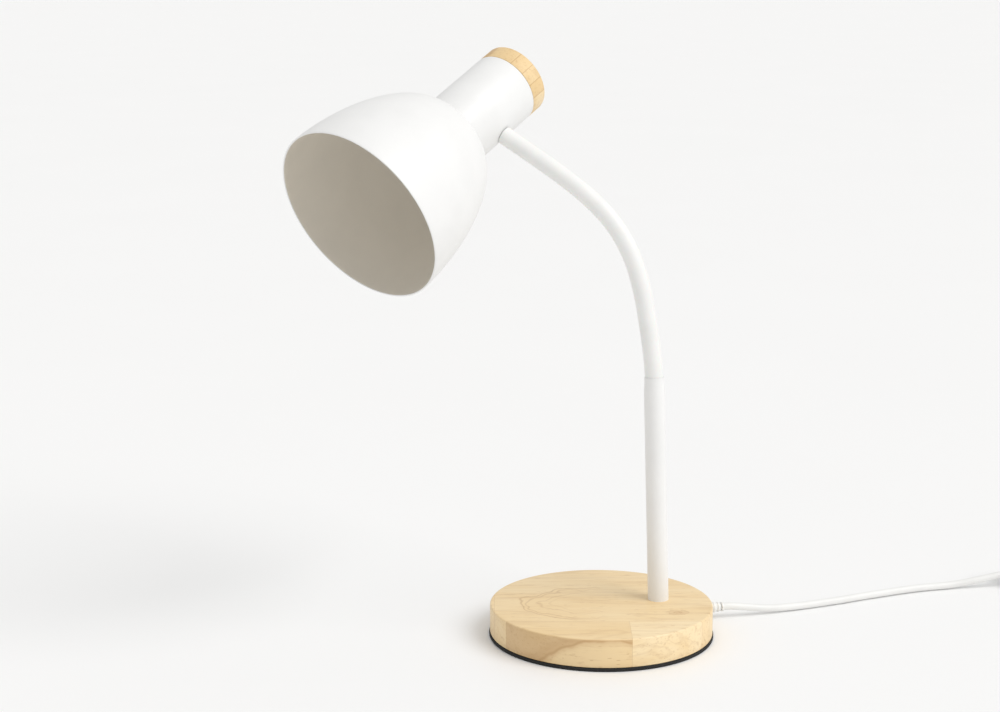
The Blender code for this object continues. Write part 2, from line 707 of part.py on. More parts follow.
def shade_outline(shoulder):
    """A curve near a quarter ellipse from the neck housing to the rim, and the same one wall further in."""
    top = HOUSING_RADIUS
    spread = SHADE_RADIUS - top
    rim = shoulder - SHADE_DEPTH
    steps = 12
    outside, inside = [(HOLDER_HOLE_RADIUS, shoulder)], []
    for k in range(steps + 1):
        angle = radians(90 * k / steps)
        across, along = sin(angle) ** SHADE_FLATNESS, max(0.0, cos(angle)) ** SHADE_FLATNESS
        outside.append((top + spread * across, rim + SHADE_DEPTH * along))
        inside.append((top + (spread - SHADE_WALL) * across, rim + (SHADE_DEPTH - SHADE_WALL) * along))
    inside[-1] = (inside[-1][0], rim)
    return outside, [(HOLDER_HOLE_RADIUS, shoulder - SHADE_WALL), *inside]


def build_shade(paints, frame, pivot, shoulder):
    outside, inside = shade_outline(shoulder)
    new_object("shade_dome", turned(outside + inside[::-1], 48), paints["white_paint"], frame, pivot)


def build_holder(paints, frame, pivot, shoulder):
    """The bulb holder, its clamping ring, screw shell and centre contact, and the wire from the neck."""
    flange_low = shoulder + GAP + HOUSING_WALL + GAP
    flange_high = flange_low + 0.0030
    low = shoulder - HOLDER_DROP
    top = HOLDER_TOP
    cavity_top = top - 0.0080
    bore = HOLDER_BORE / 2
    outline = [
        (0, top),
        (HOLDER_RADIUS - 0.003, top),
        (HOLDER_RADIUS - 0.001, top - 0.002),
        (HOLDER_RADIUS - 0.001, flange_high),
        (HOLDER_RADIUS + 0.0024, flange_high),
        (HOLDER_RADIUS + 0.0024, flange_low),
        (HOLDER_RADIUS, flange_low),
        (HOLDER_RADIUS, low),
        (bore, low),
        (bore, cavity_top),
        (0, cavity_top),
    ]
    new_object("holder_body", turned(outline, ROUND_MEDIUM, closed=False), paints["holder"], frame, pivot)

    ring_high = shoulder - SHADE_WALL - GAP
    ring_low = ring_high - 0.005
    ring = tube(HOLDER_RADIUS + 0.0034, HOLDER_HOLE_RADIUS, ring_low, ring_high, ROUND_MEDIUM)
    new_object("shade_ring", ring, paints["holder"], frame, pivot)

    shell_outer = bore - GAP
    shell_high = cavity_top - 0.004
    shell = tube(shell_outer, shell_outer - SCREW_SHELL_WALL, low + 0.003, shell_high, ROUND_MEDIUM)
    new_object("holder_screw_shell", shell, paints["brass"], frame, pivot)

    contact_high = cavity_top - GAP
    strip = block((-0.0035, -0.0070, contact_high - 0.0006), (0.0035, 0.0070, contact_high))
    tongue = new_object("holder_contact", strip, paints["brass"], frame, pivot)
    button = [
        (0, contact_high - 0.0030),
        (0.0020, contact_high - 0.0026),
        (0.0028, contact_high - 0.0003),
        (0, contact_high - 0.0003),
    ]
    cut(tongue, "button", turned(button, 12, closed=False), operation="UNION")

    stub_end = STUB_IN_HEAD - HOUSING_RADIUS - GAP
    route = [
        frame @ Vector((stub_end + 0.0004, 0, 0)),
        frame @ Vector((stub_end + 0.0050, 0, -0.0002)),
        frame @ Vector((stub_end + 0.0100, 0.0004, -0.0022)),
        frame @ Vector((stub_end + 0.0130, 0.0006, -0.0062)),
        frame @ Vector((stub_end + 0.0133, 0.0006, HOLDER_TOP + GAP)),
    ]
    wire = cord_tube("head_wire", route, WIRE_DIAMETER, paints["wire"], resolution=1)
    wire.parent = pivot
    wire.matrix_parent_inverse = frame.inverted()


def build_cap(paints, frame, pivot):
    """The wooden cap with its spigot, held by a screw through a bracket inside the housing."""
    radius = HOUSING_RADIUS
    low = HOUSING_ABOVE
    high = low + CAP_THICKNESS
    edge = CAP_EDGE_RADIUS
    spigot = HOUSING_BORE_RADIUS - GAP
    outline = [(0, low - CAP_SPIGOT), (spigot, low - CAP_SPIGOT), (spigot, low), (radius, low)]
    for k in range(4):
        angle = radians(30 * k)
        outline.append((radius - edge * (1 - cos(angle)), high - edge * (1 - sin(angle))))
    outline.append((0, high))
    cap = new_object("neck_cap", turned(outline, ROUND_MEDIUM + 8, closed=False), paints["wood"], frame, pivot)
    tip = high - 0.005
    cut(cap, "pilot_hole", disc(CAP_SCREW_RADIUS + GAP, low - CAP_SPIGOT - 0.002, tip + 2 * GAP, 12))

    strip_high = low - CAP_SPIGOT - GAP
    strip_low = strip_high - BRACKET_THICKNESS
    half_width = BRACKET_WIDTH / 2
    reach = sqrt(HOUSING_BORE_RADIUS**2 - half_width**2) - GAP
    strip = new_object(
        "cap_bracket",
        block((-half_width, -reach, strip_low), (half_width, reach, strip_high)),
        paints["bright_steel"],
        frame,
        pivot,
    )
    for side in (-1, 1):
        near, far = sorted((side * reach, side * (reach - BRACKET_THICKNESS)))
        tab = block((-half_width, near, strip_low - BRACKET_TAB), (half_width, far, strip_high))
        cut(strip, f"tab_{'left' if side < 0 else 'right'}", tab, operation="UNION")
    cut(strip, "screw_hole", disc(CAP_SCREW_RADIUS + GAP, strip_low - 0.01, strip_high + 0.01, 12))
    head_high = strip_low - GAP
    fixing = screw(2 * CAP_SCREW_RADIUS, CAP_SCREW_RADIUS, head_high - 0.0022, head_high, tip)
    new_object("cap_screw", fixing, paints["bright_steel"], frame, pivot)


# ---------------------------------------------------------------- mains cord
def build_cord(paints):
    straight = Vector((0, CORD_DIAMETER, 0))  # the cord leaves and enters each piece square to its face
    start = Vector((CORD_OFFSET, BASE_RADIUS + GLAND_REACH + GAP, CORD_EXIT_HEIGHT))
    switch = Vector((*SWITCH_CENTRE, SWITCH_ENTRY_HEIGHT))
    near = switch - Vector((0, SWITCH_LENGTH / 2 + GAP, 0))
    far = switch + Vector((0, SWITCH_LENGTH / 2 + GAP, 0))
    back = Vector((PLUG_CENTRE[0], PLUG_CENTRE[1] + PLUG_LENGTH / 2 + GAP, PLUG_AXIS_HEIGHT))
    to_switch = [start, start + straight, *ROUTE_TO_SWITCH, near - straight, near]
    cord_tube("mains_cord_a", to_switch, CORD_DIAMETER, paints["cord"])
    cord_tube("mains_cord_b", [far, far + straight, *ROUTE_TO_COIL], CORD_DIAMETER, paints["cord"])
    cord_tube("mains_cord_c", [*ROUTE_TO_PLUG, back + straight, back], CORD_DIAMETER, paints["cord"])

    across = COIL_TURNS_ACROSS * CORD_DIAMETER
    inner = COIL_TURN_RADIUS - across / 2
    outer = COIL_TURN_RADIUS + across / 2
    low = COIL_LIFT + GAP
    high = low + COIL_LAYERS * CORD_DIAMETER
    round_off = CORD_RADIUS / 2
    outline = [
        (outer, high - round_off),
        (outer, low + round_off),
        (outer - round_off, low),
        (inner + round_off, low),
        (inner, low + round_off),
        (inner, high - round_off),
        (inner + round_off, high),
        (outer - round_off, high),
    ]
    centre = Matrix.Translation((*COIL_CENTRE, 0))
    new_object("cord_coil", turned(outline, 36), paints["cord"], centre)

    band = TIE_THICKNESS
    half_width = TIE_WIDTH / 2
    inside = sqrt(inner**2 - half_width**2) - GAP
    outside = outer + GAP
    loop = block((-half_width, inside - band, low - GAP - band), (half_width, outside + band, high + GAP + band))
    tie = new_object("cord_tie", loop, paints["black_plastic"], centre)
    cut(tie, "inside", block((-TIE_WIDTH, inside, low - GAP), (TIE_WIDTH, outside, high + GAP)))


def build_switch(paints):
    """The in-line switch: two housing halves, its screws and the rocker on a pivot across the switch."""
    frame = Matrix.Translation((*SWITCH_CENTRE, 0))
    wall = SWITCH_WALL
    split = SWITCH_ENTRY_HEIGHT
    outside = rounded_rectangle(SWITCH_WIDTH, SWITCH_LENGTH, 0.006)
    hollow = rounded_rectangle(SWITCH_WIDTH - 2 * wall, SWITCH_LENGTH - 2 * wall - 0.020, 0.003)
    lower = new_object("switch_base", prism(outside, 0.0002, split - GAP / 2), paints["switch"], frame)
    cut(lower, "hollow", prism(hollow, wall, SWITCH_HEIGHT))
    upper = new_object("switch_cover", prism(outside, split + GAP / 2, SWITCH_HEIGHT), paints["switch"], frame)
    cut(upper, "hollow", prism(hollow, 0.0, SWITCH_HEIGHT - wall))

    opening = (ROCKER_WIDTH / 2 + 2 * GAP, ROCKER_LENGTH / 2 + 4 * GAP)
    cut(upper, "opening", block((-opening[0], -opening[1], 0), (opening[0], opening[1], 2 * SWITCH_HEIGHT)))
    for side in (-1, 1):
        near, far = sorted((side * (ROCKER_WIDTH / 2 + 3 * GAP), side * (ROCKER_WIDTH / 2 + 3 * GAP + 0.002)))
        post = block((near, -0.0032, split + 3 * GAP), (far, 0.0032, SWITCH_HEIGHT - wall / 2))
        cut(upper, f"post_{'left' if side < 0 else 'right'}", post, operation="UNION")
    across = Matrix.Translation((0, 0, ROCKER_AXIS_HEIGHT)) @ Matrix.Rotation(radians(90), 4, "Y")
    bearing = moved(disc(ROCKER_PIN_RADIUS + GAP, -0.0095, 0.0095, 12), across)
    cut(upper, "bearing", bearing)

    pivot_frame = frame @ Matrix.Translation((0, 0, ROCKER_AXIS_HEIGHT))
    pivot = empty("rocker_pivot", pivot_frame)
    tilt = Matrix.Rotation(radians(-ROCKER_TILT), 4, "X")
    body = moved(rocker_shape(), tilt)
    rocker = new_object("switch_rocker", body, paints["rocker"], pivot_frame, pivot)
    pin_reach = ROCKER_WIDTH / 2 + 3 * GAP + 0.0016
    pin = moved(disc(ROCKER_PIN_RADIUS, -pin_reach, pin_reach, 12), Matrix.Rotation(radians(90), 4, "Y"))
    cut(rocker, "pin", pin, operation="UNION")

    place = Matrix.Translation((0, SWITCH_LENGTH / 2 - 0.0065, 0))
    shank = SWITCH_SCREW_RADIUS
    head_high = 0.0022
    fixing = moved(screw(2 * shank, shank, 2 * GAP, head_high, SWITCH_HEIGHT - 0.003), place)
    new_object("switch_screw", fixing, paints["bright_steel"], frame)
    cut(lower, "screw_sink", moved(disc(2 * shank + GAP, -0.001, head_high + GAP, 12), place))
    for half in (lower, upper):
        cut(half, "screw_bore", moved(disc(shank + GAP, 0.0002, SWITCH_HEIGHT - 0.0026, 12), place))


def rocker_shape():
    """A rocker about X: a shallow dished top over a tapering foot."""
    half = ROCKER_LENGTH / 2
    profile = [(-half, 0.0052), (-half, 0.0022), (-half * 0.55, -0.0024), (half * 0.55, -0.0024)]
    profile += [(half, 0.0022), (half, 0.0052), (half * 0.45, 0.0044), (-half * 0.45, 0.0044)]
    bm = prism(profile, -ROCKER_WIDTH / 2, ROCKER_WIDTH / 2)
    standing = Matrix(((0, 0, 1, 0), (1, 0, 0, 0), (0, 1, 0, 0), (0, 0, 0, 1)))
    return moved(bm, standing)


def build_plug(paints):
    """A flat two-pin plug, lying on its broad side with its pins towards -Y."""
    frame = Matrix.Translation((*PLUG_CENTRE, PLUG_AXIS_HEIGHT)) @ Matrix.Rotation(radians(90), 4, "X")
    bm = bmesh.new()
    rings = []
    for share, scale in ((-0.5, 0.42), (-0.15, 0.80), (0.25, 1.0), (0.5, 1.0)):
        outline = rounded_rectangle(PLUG_WIDTH * scale, PLUG_HEIGHT * max(scale, 0.72), 0.0045 * scale + 0.0002)
        rings.append([bm.verts.new((x, y, share * PLUG_LENGTH)) for x, y in outline])
    for low, high in zip(rings, rings[1:]):
        for k in range(len(low)):
            bm.faces.new((low[k - 1], low[k], high[k], high[k - 1]))
    bm.faces.new(rings[0][::-1])
    bm.faces.new(rings[-1])
    body = new_object("plug_body", bm, paints["switch"], frame)
    front = PLUG_LENGTH / 2
    root = front - 0.008
    tip = front + PIN_REACH
    radius = PIN_RADIUS
    for name, side in (("left", -1), ("right", 1)):
        place = Matrix.Translation((side * PIN_SPACING / 2, 0, 0))
        outline = [(0, root), (radius, root), (radius, tip - 0.001), (radius / 2, tip), (0, tip)]
        pin = moved(turned(outline, 12, closed=False), place)
        new_object(f"plug_pin_{name}", pin, paints["bright_steel"], frame)
        cut(body, f"socket_{name}", moved(disc(radius + GAP, root - GAP, front + 0.004, 12), place))


# ---------------------------------------------------------------- the whole lamp
def build_lamp():
    for old in list(bpy.data.objects):
        bpy.data.objects.remove(old, do_unlink=True)
    paints = {
        "wood": material("rubberwood", (0.80, 0.60, 0.36), 0.50),
        "foam": material("black_foam", (0.02, 0.02, 0.02), 0.90),
        "white_paint": material("white_powder_coat", (0.86, 0.86, 0.84), 0.45),
        "sleeve": material("white_sleeve", (0.84, 0.84, 0.82), 0.50),
        "cord": material("white_cord", (0.85, 0.85, 0.84), 0.45),
        "wire": material("wire_sheath", (0.70, 0.70, 0.68), 0.50),
        "bright_steel": material("bright_steel", (0.60, 0.60, 0.60), 0.30, 1.0),
        "dark_steel": material("dark_steel", (0.16, 0.16, 0.17), 0.45, 1.0),
        "brass": material("brass", (0.78, 0.57, 0.25), 0.30, 1.0),
        "holder": material("holder_plastic", (0.80, 0.80, 0.78), 0.45),
        "white_plastic": material("white_plastic", (0.84, 0.84, 0.83), 0.40),
        "black_plastic": material("black_plastic", (0.03, 0.03, 0.03), 0.50),
        "switch": material("switch_plastic", (0.85, 0.85, 0.84), 0.35),
        "rocker": material("rocker_plastic", (0.70, 0.70, 0.69), 0.35),
    }
    build_base(paints)
    build_base_inside(paints)
    build_gland(paints)
    build_stem(paints)
    neck_end = build_neck(paints)
    build_head(paints, neck_end)
    build_cord(paints)
    build_switch(paints)
    build_plug(paints)


build_lamp()
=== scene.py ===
"""Gooseneck desk lamp: finished surfaces, mains cord and studio, built round the fixed frame."""

import json
from math import cos, pi, radians, sin, sqrt

import bmesh
import bpy
from bpy.props import FloatProperty, FloatVectorProperty, IntProperty, PointerProperty
from mathutils import Matrix, Vector


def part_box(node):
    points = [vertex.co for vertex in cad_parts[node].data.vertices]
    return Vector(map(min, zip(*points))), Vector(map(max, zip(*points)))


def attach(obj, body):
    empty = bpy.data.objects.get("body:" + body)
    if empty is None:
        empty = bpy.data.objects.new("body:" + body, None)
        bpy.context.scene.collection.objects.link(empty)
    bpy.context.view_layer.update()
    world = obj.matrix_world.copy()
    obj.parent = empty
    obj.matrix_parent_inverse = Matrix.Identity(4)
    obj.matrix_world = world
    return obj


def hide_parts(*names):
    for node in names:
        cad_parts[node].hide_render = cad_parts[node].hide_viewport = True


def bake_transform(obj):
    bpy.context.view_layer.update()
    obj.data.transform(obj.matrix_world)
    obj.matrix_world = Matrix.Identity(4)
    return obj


bl_info = {
    "name": "Gooseneck desk lamp",
    "version": (1, 0, 0),
    "blender": (4, 5, 0),
    "location": "View3D > Sidebar > Lamp",
    "description": "Builds a gooseneck desk lamp with a wooden base and a dome shade",
    "category": "Object",
}

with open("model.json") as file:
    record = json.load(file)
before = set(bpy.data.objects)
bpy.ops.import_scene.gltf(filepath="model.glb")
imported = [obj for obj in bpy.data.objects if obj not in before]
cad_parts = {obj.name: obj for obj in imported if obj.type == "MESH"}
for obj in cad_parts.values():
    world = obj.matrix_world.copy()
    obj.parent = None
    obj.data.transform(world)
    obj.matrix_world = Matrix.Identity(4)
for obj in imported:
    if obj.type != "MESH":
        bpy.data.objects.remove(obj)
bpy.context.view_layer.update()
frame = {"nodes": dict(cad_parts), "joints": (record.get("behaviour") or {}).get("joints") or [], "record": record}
NODES = frame["nodes"]
JOINTS = {joint["name"]: joint for joint in frame["joints"]}

# The camera: its place, the way it faces from +Y towards -X and how far it looks down, both in degrees,
# and its lens in millimetres.
CAMERA_PLACE = (1.24874, -0.33522, 0.44674)
CAMERA_AZIMUTH = 78.0
CAMERA_DOWN = 11.198
CAMERA_LENS = 72.0

# Points closer than this are one point, and a point this near a height counts as at it.
SAME_POINT = 2e-6
NEAR = 1e-4

# The neck's links, each hinged to the one below it.
LINKS = 8

# The lamp's materials by name, which the finishes operator fills before any piece is made.
FINISHES = {}


# ---------------------------------------------------------------- settings
def length(name, description, default):
    return FloatProperty(
        name=name,
        description=description,
        default=default,
        min=0.0001,
        max=1.0,
        subtype="DISTANCE",
        unit="LENGTH",
    )


def colour(name, description, default):
    return FloatVectorProperty(
        name=name, description=description, default=default, min=0.0, max=1.0, size=3, subtype="COLOR"
    )


class LampSizes(bpy.types.PropertyGroup):
    base_edge: length("Base edge", "Rounding of the wooden base's upper edge", 0.0012)
    base_recess_radius: length("Recess radius", "Radius of the recess under the wooden base", 0.056)
    base_roof: length("Recess roof", "Wood left above the recess", 0.006)
    stem_diameter: length("Stem", "Outside diameter of the stem", 0.0140)
    stem_taper: length("Stem taper", "Length over which the stem's top narrows to the sleeve", 0.0140)
    sleeve_diameter: length("Sleeve", "Outside diameter of the neck's sleeve", 0.0123)
    hose_diameter: length("Hose", "Outside diameter of the hose inside the sleeve", 0.0080)
    sleeve_inside_stem: length("Sleeve in stem", "How far the sleeve starts inside the stem's mouth", 0.0015)
    first_hinge: length("First bend", "From the stem's top to the neck's first bend", 0.012)
    head_gap: length("Head gap", "Gap between the neck's end and the housing", 0.0003)
    housing_diameter: length("Neck housing", "Outside diameter of the head's straight part", 0.0508)
    housing_below: length("Housing below", "From the neck's axis to the shade's shoulder", 0.0297)
    housing_above: length("Housing above", "From the neck's axis to the wooden cap", 0.0339)
    shade_diameter: length("Shade", "Outside diameter of the shade's rim", 0.1258)
    shade_depth: length("Shade depth", "From the shade's shoulder to its rim", 0.0945)
    shade_flatness: FloatProperty(
        name="Shade flatness",
        description="1 makes the shade's side a quarter ellipse, and more makes it slimmer",
        default=1.08,
        min=1.0,
        max=1.5,
        subtype="FACTOR",
    )
    sheet: length("Sheet metal", "Thickness of the shade's and housing's metal", 0.0010)
    holder_hole: length("Holder hole", "Radius of the hole for the lampholder", 0.0202)
    cap_thickness: length("Cap", "Thickness of the wooden cap above the housing", 0.0132)
    cap_spigot: length("Cap spigot", "Depth of the cap's spigot inside the housing", 0.0060)
    cord_diameter: length("Cord", "Diameter of the mains cord", 0.0052)
    turn_steps: IntProperty(
        name="Turn steps", description="Faces round a large turned piece", default=128, min=32, max=512
    )


class LampColours(bpy.types.PropertyGroup):
    paint: colour("Paint", "White powder coat of the metal", (0.840, 0.840, 0.835))
    # The colour inside the shade is the white paint darkened to a warm grey: painted shade for the dome's hollow.
    paint_inside: colour("Shade inside", "Paint inside the shade", (0.73, 0.685, 0.605))
    sleeve: colour("Sleeve", "Soft plastic over the neck", (0.85, 0.85, 0.835))
    cord: colour("Cord", "Mains cord", (0.84, 0.84, 0.825))
    wood_light: colour("Wood light", "Pale strips of the wood", (0.91, 0.735, 0.465))
    wood_mid: colour("Wood", "Main tone of the wood", (0.81, 0.590, 0.305))
    wood_dark: colour("Wood dark", "Late wood and deeper strips", (0.50, 0.285, 0.115))
    foam: colour("Foam", "Pad under the base", (0.012, 0.012, 0.012))
    floor: colour("Floor", "Studio floor and backdrop", (0.92, 0.92, 0.92))


# ---------------------------------------------------------------- where things are
def centre(node):
    low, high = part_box(node)
    return (low + high) / 2


def upright(origin, along, towards=(1, 0, 0)):
    """A frame at origin whose Z runs along a direction and whose X leans towards another."""
    z = Vector(along).normalized()
    x = (Vector(towards) - Vector(towards).dot(z) * z).normalized()
    turn = Matrix((x, z.cross(x), z)).transposed().to_4x4()
    return Matrix.Translation(origin) @ turn


def stem_axis():
    """The stem's frame at its foot; the bush in its top is on the same axis."""
    low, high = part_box("stem_tube")
    along = (centre("hose_bush") - centre("stem_tube")).normalized()
    radius = bpy.context.scene.lamp_sizes.stem_diameter / 2
    reach = ((high.z - low.z) / 2 - radius * sqrt(1 - along.z**2)) / along.z
    return upright(centre("stem_tube") - along * reach, along), 2 * reach


def head_axis():
    """Where the neck's end meets the head, X in line with the neck's end and Z towards the cap."""
    swivel = JOINTS["head_swivel"]
    along = centre("neck_housing") - centre("holder_screw_shell")
    return upright(swivel["pos_m"], along, swivel["axis"])


def neck_stations():
    """Points on the neck's centreline: its foot, each hinge and its end."""
    sizes = bpy.context.scene.lamp_sizes
    foot, height = stem_axis()
    swivel = JOINTS["head_swivel"]
    reach = sizes.housing_diameter / 2 + sizes.head_gap
    end = Vector(swivel["pos_m"]) - reach * Vector(swivel["axis"]).normalized()
    hinges = [Vector(JOINTS[f"neck_bend_{k}"]["pos_m"]) for k in range(1, LINKS + 1)]
    return [foot @ Vector((0, 0, height - sizes.sleeve_inside_stem)), *hinges, end]


# ---------------------------------------------------------------- curves
def between(a, b, c, d, share):
    """A point between b and c on the centripetal curve through a, b, c and d."""
    knots = [0.0]
    for p, q in ((a, b), (b, c), (c, d)):
        knots.append(knots[-1] + sqrt((q - p).length))
    at = knots[1] + share * (knots[2] - knots[1])
    level = [p.lerp(q, (at - s) / (t - s)) for p, q, s, t in zip((a, b, c), (b, c, d), knots, knots[1:])]
    level = [p.lerp(q, (at - s) / (t - s)) for p, q, s, t in zip(level, level[1:], knots, knots[2:])]
    return level[0].lerp(level[1], share)


def flowing(route, spacing):
    """Points at an even spacing on a smooth curve through a route's points."""
    finest = 0.0004
    route = [Vector(p) for p in route]
    ends = [2 * route[0] - route[1], *route, 2 * route[-1] - route[-2]]
    fine = []
    for a, b, c, d in zip(ends, ends[1:], ends[2:], ends[3:]):
        steps = max(2, int((c - b).length / finest))
        fine += [between(a, b, c, d, k / steps) for k in range(steps)]
    fine.append(route[-1])
    out, travelled = [fine[0]], 0.0
    for p, q in zip(fine, fine[1:]):
        travelled += (q - p).length
        if travelled >= spacing:
            out.append(q)
            travelled = 0.0
    if (out[-1] - fine[-1]).length < spacing / 2:
        out.pop()
    return [*out, fine[-1]]


# ---------------------------------------------------------------- mesh helpers
def finish_piece(name, bm, finishes, body, nodes, sharp=30, matrix=None):
    """Makes bm an object of the lamp: its place in its mesh, outward faces, its finishes and its body."""
    bmesh.ops.remove_doubles(bm, verts=bm.verts, dist=SAME_POINT)
    if matrix is not None:
        bmesh.ops.transform(bm, matrix=matrix, verts=bm.verts)
    bmesh.ops.recalc_face_normals(bm, faces=bm.faces)
    mesh = bpy.data.meshes.new(name)
    bm.to_mesh(mesh)
    bm.free()
    mesh.shade_smooth()
    mesh.set_sharp_from_angle(angle=radians(sharp))
    for finish in finishes:
        mesh.materials.append(FINISHES[finish])
    piece = bpy.data.objects.new(name, mesh)
    bpy.context.scene.collection.objects.link(piece)
    if body:
        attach(piece, body)
    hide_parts(*nodes)
    return piece


def turned(outline, steps, closed=True):
    """A body turned about Z; outline holds (radius, height) points, and an open one ends on the axis."""
    bm = bmesh.new()
    verts = [bm.verts.new((radius, 0.0, height)) for radius, height in outline]
    edges = [bm.edges.new(pair) for pair in zip(verts, verts[1:])]
    if closed:
        edges.append(bm.edges.new((verts[-1], verts[0])))
    bmesh.ops.spin(
        bm, geom=verts + edges, axis=(0, 0, 1), cent=(0, 0, 0), angle=2 * pi, steps=steps, use_merge=True
    )
    bmesh.ops.remove_doubles(bm, verts=bm.verts, dist=SAME_POINT)
    bmesh.ops.recalc_face_normals(bm, faces=bm.faces)
    return bm


def outwardness(face):
    """How far a turned body's face looks away from its axis, from -1 to 1."""
    middle = face.calc_center_median()
    return face.normal.dot(Vector((middle.x, middle.y, 0)).normalized())


def soften(bm, offset, segments=3, keep=None, least=40):
    """Rounds a mesh's edges that turn more than least degrees and that keep accepts."""
    edges = [
        edge
        for edge in bm.edges
        if edge.is_manifold and edge.calc_face_angle() > radians(least) and (keep is None or keep(edge))
    ]
    bmesh.ops.bevel(
        bm,
        geom=edges,
        offset=offset,
        offset_type="OFFSET",
        segments=segments,
        profile=0.5,
        affect="EDGES",
        material=-1,
        clamp_overlap=True,
    )


def refined(name, node, finish, body, edge=0.0004, segments=2):
    """A finished copy of a CAD node: its triangles merged into faces and its edges softened."""
    bm = bmesh.new()
    bm.from_mesh(NODES[node].data)
    bmesh.ops.remove_doubles(bm, verts=bm.verts, dist=SAME_POINT)
    bmesh.ops.dissolve_limit(bm, angle_limit=radians(1), verts=bm.verts, edges=bm.edges)
    soften(bm, edge, segments, least=50)
    return finish_piece(name, bm, (finish,), body, (node,))


def tube_through(stations, across, outer, inner, sides=40):
    """A hollow tube through stations, each a (point, direction) pair; across is square to them all."""
    bm = bmesh.new()
    walls = []
    for radius in (outer, inner):
        rings = []
        for point, along in stations:
            place = upright(point, along, across)
            made = bmesh.ops.create_circle(bm, cap_ends=False, segments=sides, radius=radius, matrix=place)
            rings.append(list({edge for vert in made["verts"] for edge in vert.link_edges}))
        for low, high in zip(rings, rings[1:]):
            bmesh.ops.bridge_loops(bm, edges=low + high)
        walls.append(rings)
    for end in (0, -1):
        bmesh.ops.bridge_loops(bm, edges=walls[0][end] + walls[1][end])
    return bm


# ---------------------------------------------------------------- materials
class Finish:
    """A material under construction, with short ways to add its nodes."""

    def __init__(self, name, base, roughness, metallic=0.0, **sockets):
        self.material = bpy.data.materials.new(name)
        self.material.use_nodes = True
        self.tree = self.material.node_tree
        self.shader = self.tree.nodes["Principled BSDF"]
        self.set("Base Color", (*base, 1.0))
        self.set("Roughness", roughness)
        self.set("Metallic", metallic)
        for socket, value in sockets.items():
            self.set(socket.replace("_", " "), value)
        self.place = self.add("ShaderNodeTexCoord").outputs["Object"]

    def set(self, socket, value):
        self.feed(self.shader.inputs[socket], value)

    def feed(self, socket, value):
        if isinstance(value, bpy.types.NodeSocket):
            self.tree.links.new(value, socket)
        else:
            socket.default_value = value

    def add(self, kind, inputs=None, **settings):
        node = self.tree.nodes.new(kind)
        for name, value in settings.items():
            setattr(node, name, value)
        for name, value in (inputs or {}).items():
            self.feed(node.inputs[name], value)
        return node

    def math(self, operation, a, b=0.0, c=0.0):
        node = self.add("ShaderNodeMath", operation=operation)
        for socket, value in zip(node.inputs, (a, b, c)):
            self.feed(socket, value)
        return node.outputs[0]

    def vector(self, operation, a, b=(0.0, 0.0, 0.0)):
        node = self.add("ShaderNodeVectorMath", operation=operation)
        self.feed(node.inputs[0], a)
        self.feed(node.inputs[1], b)
        return node.outputs[0]

    def seen_from(self, frame_of_piece):
        """Object coordinates turned and moved into a piece's own frame."""
        back = frame_of_piece.inverted()
        inputs = {"Vector": self.place, "Location": back.translation, "Rotation": back.to_euler()}
        return self.add("ShaderNodeMapping", inputs).outputs[0]

    def noise(self, scale, detail=2.0, roughness=0.5, distortion=0.0, place=None):
        inputs = {
            "Vector": place or self.place,
            "Scale": scale,
            "Detail": detail,
            "Roughness": roughness,
            "Distortion": distortion,
        }
        return self.add("ShaderNodeTexNoise", inputs).outputs["Fac"]

    def spread(self, value, low, high, to_low=0.0, to_high=1.0):
        """A smooth step from to_low to to_high as a value goes from low to high."""
        inputs = {"Value": value, "From Min": low, "From Max": high, "To Min": to_low, "To Max": to_high}
        return self.add("ShaderNodeMapRange", inputs, interpolation_type="SMOOTHSTEP").outputs[0]

    def mix(self, share, a, b):
        node = self.add("ShaderNodeMix", data_type="RGBA")
        self.feed(node.inputs[0], share)
        self.feed(node.inputs[6], a if isinstance(a, bpy.types.NodeSocket) else (*a, 1.0))
        self.feed(node.inputs[7], b if isinstance(b, bpy.types.NodeSocket) else (*b, 1.0))
        return node.outputs[2]

    def away(self, across, along):
        """The distance from a figure's middle."""
        squares = self.math("MULTIPLY_ADD", across, across, self.math("MULTIPLY", along, along))
        return self.math("SQRT", squares)

    def bump(self, height, strength, distance, below=None):
        inputs = {"Height": height, "Strength": strength, "Distance": distance}
        if below is not None:
            inputs["Normal"] = below
        return self.add("ShaderNodeBump", inputs).outputs[0]


def dimmed(base, share):
    """A colour made darker, or lighter with a share above 1."""
    return tuple(part * share for part in base)


def powder_coat(name, base, roughness=0.42):
    """Baked powder paint: faint orange peel, a few denser patches and a slightly uneven sheen."""
    made = Finish(name, base, roughness)
    patches = made.spread(made.noise(38.0, 3.0), 0.35, 0.70)
    made.set("Base Color", made.mix(patches, base, dimmed(base, 0.975)))
    made.set("Roughness", made.spread(made.noise(120.0, 3.0), 0.3, 0.7, roughness - 0.05, roughness + 0.07))
    peel = made.noise(620.0, 2.0, 0.4)
    speck = made.noise(2600.0, 1.0)
    made.set("Normal", made.bump(speck, 0.05, 0.0001, made.bump(peel, 0.10, 0.0002)))
    return made.material


def soft_plastic(name, base, roughness=0.5, grain=900.0, sheen=0.0, **sockets):
    """Moulded or extruded soft plastic with a fine matt grain."""
    made = Finish(name, base, roughness, Sheen_Weight=sheen, **sockets)
    cloud = made.spread(made.noise(55.0, 3.0), 0.3, 0.75)
    made.set("Base Color", made.mix(cloud, base, dimmed(base, 0.96)))
    made.set("Roughness", made.spread(made.noise(260.0, 2.0), 0.3, 0.7, roughness - 0.06, roughness + 0.08))
    made.set("Normal", made.bump(made.noise(grain, 3.0, 0.6), 0.14, 0.0002))
    return made.material


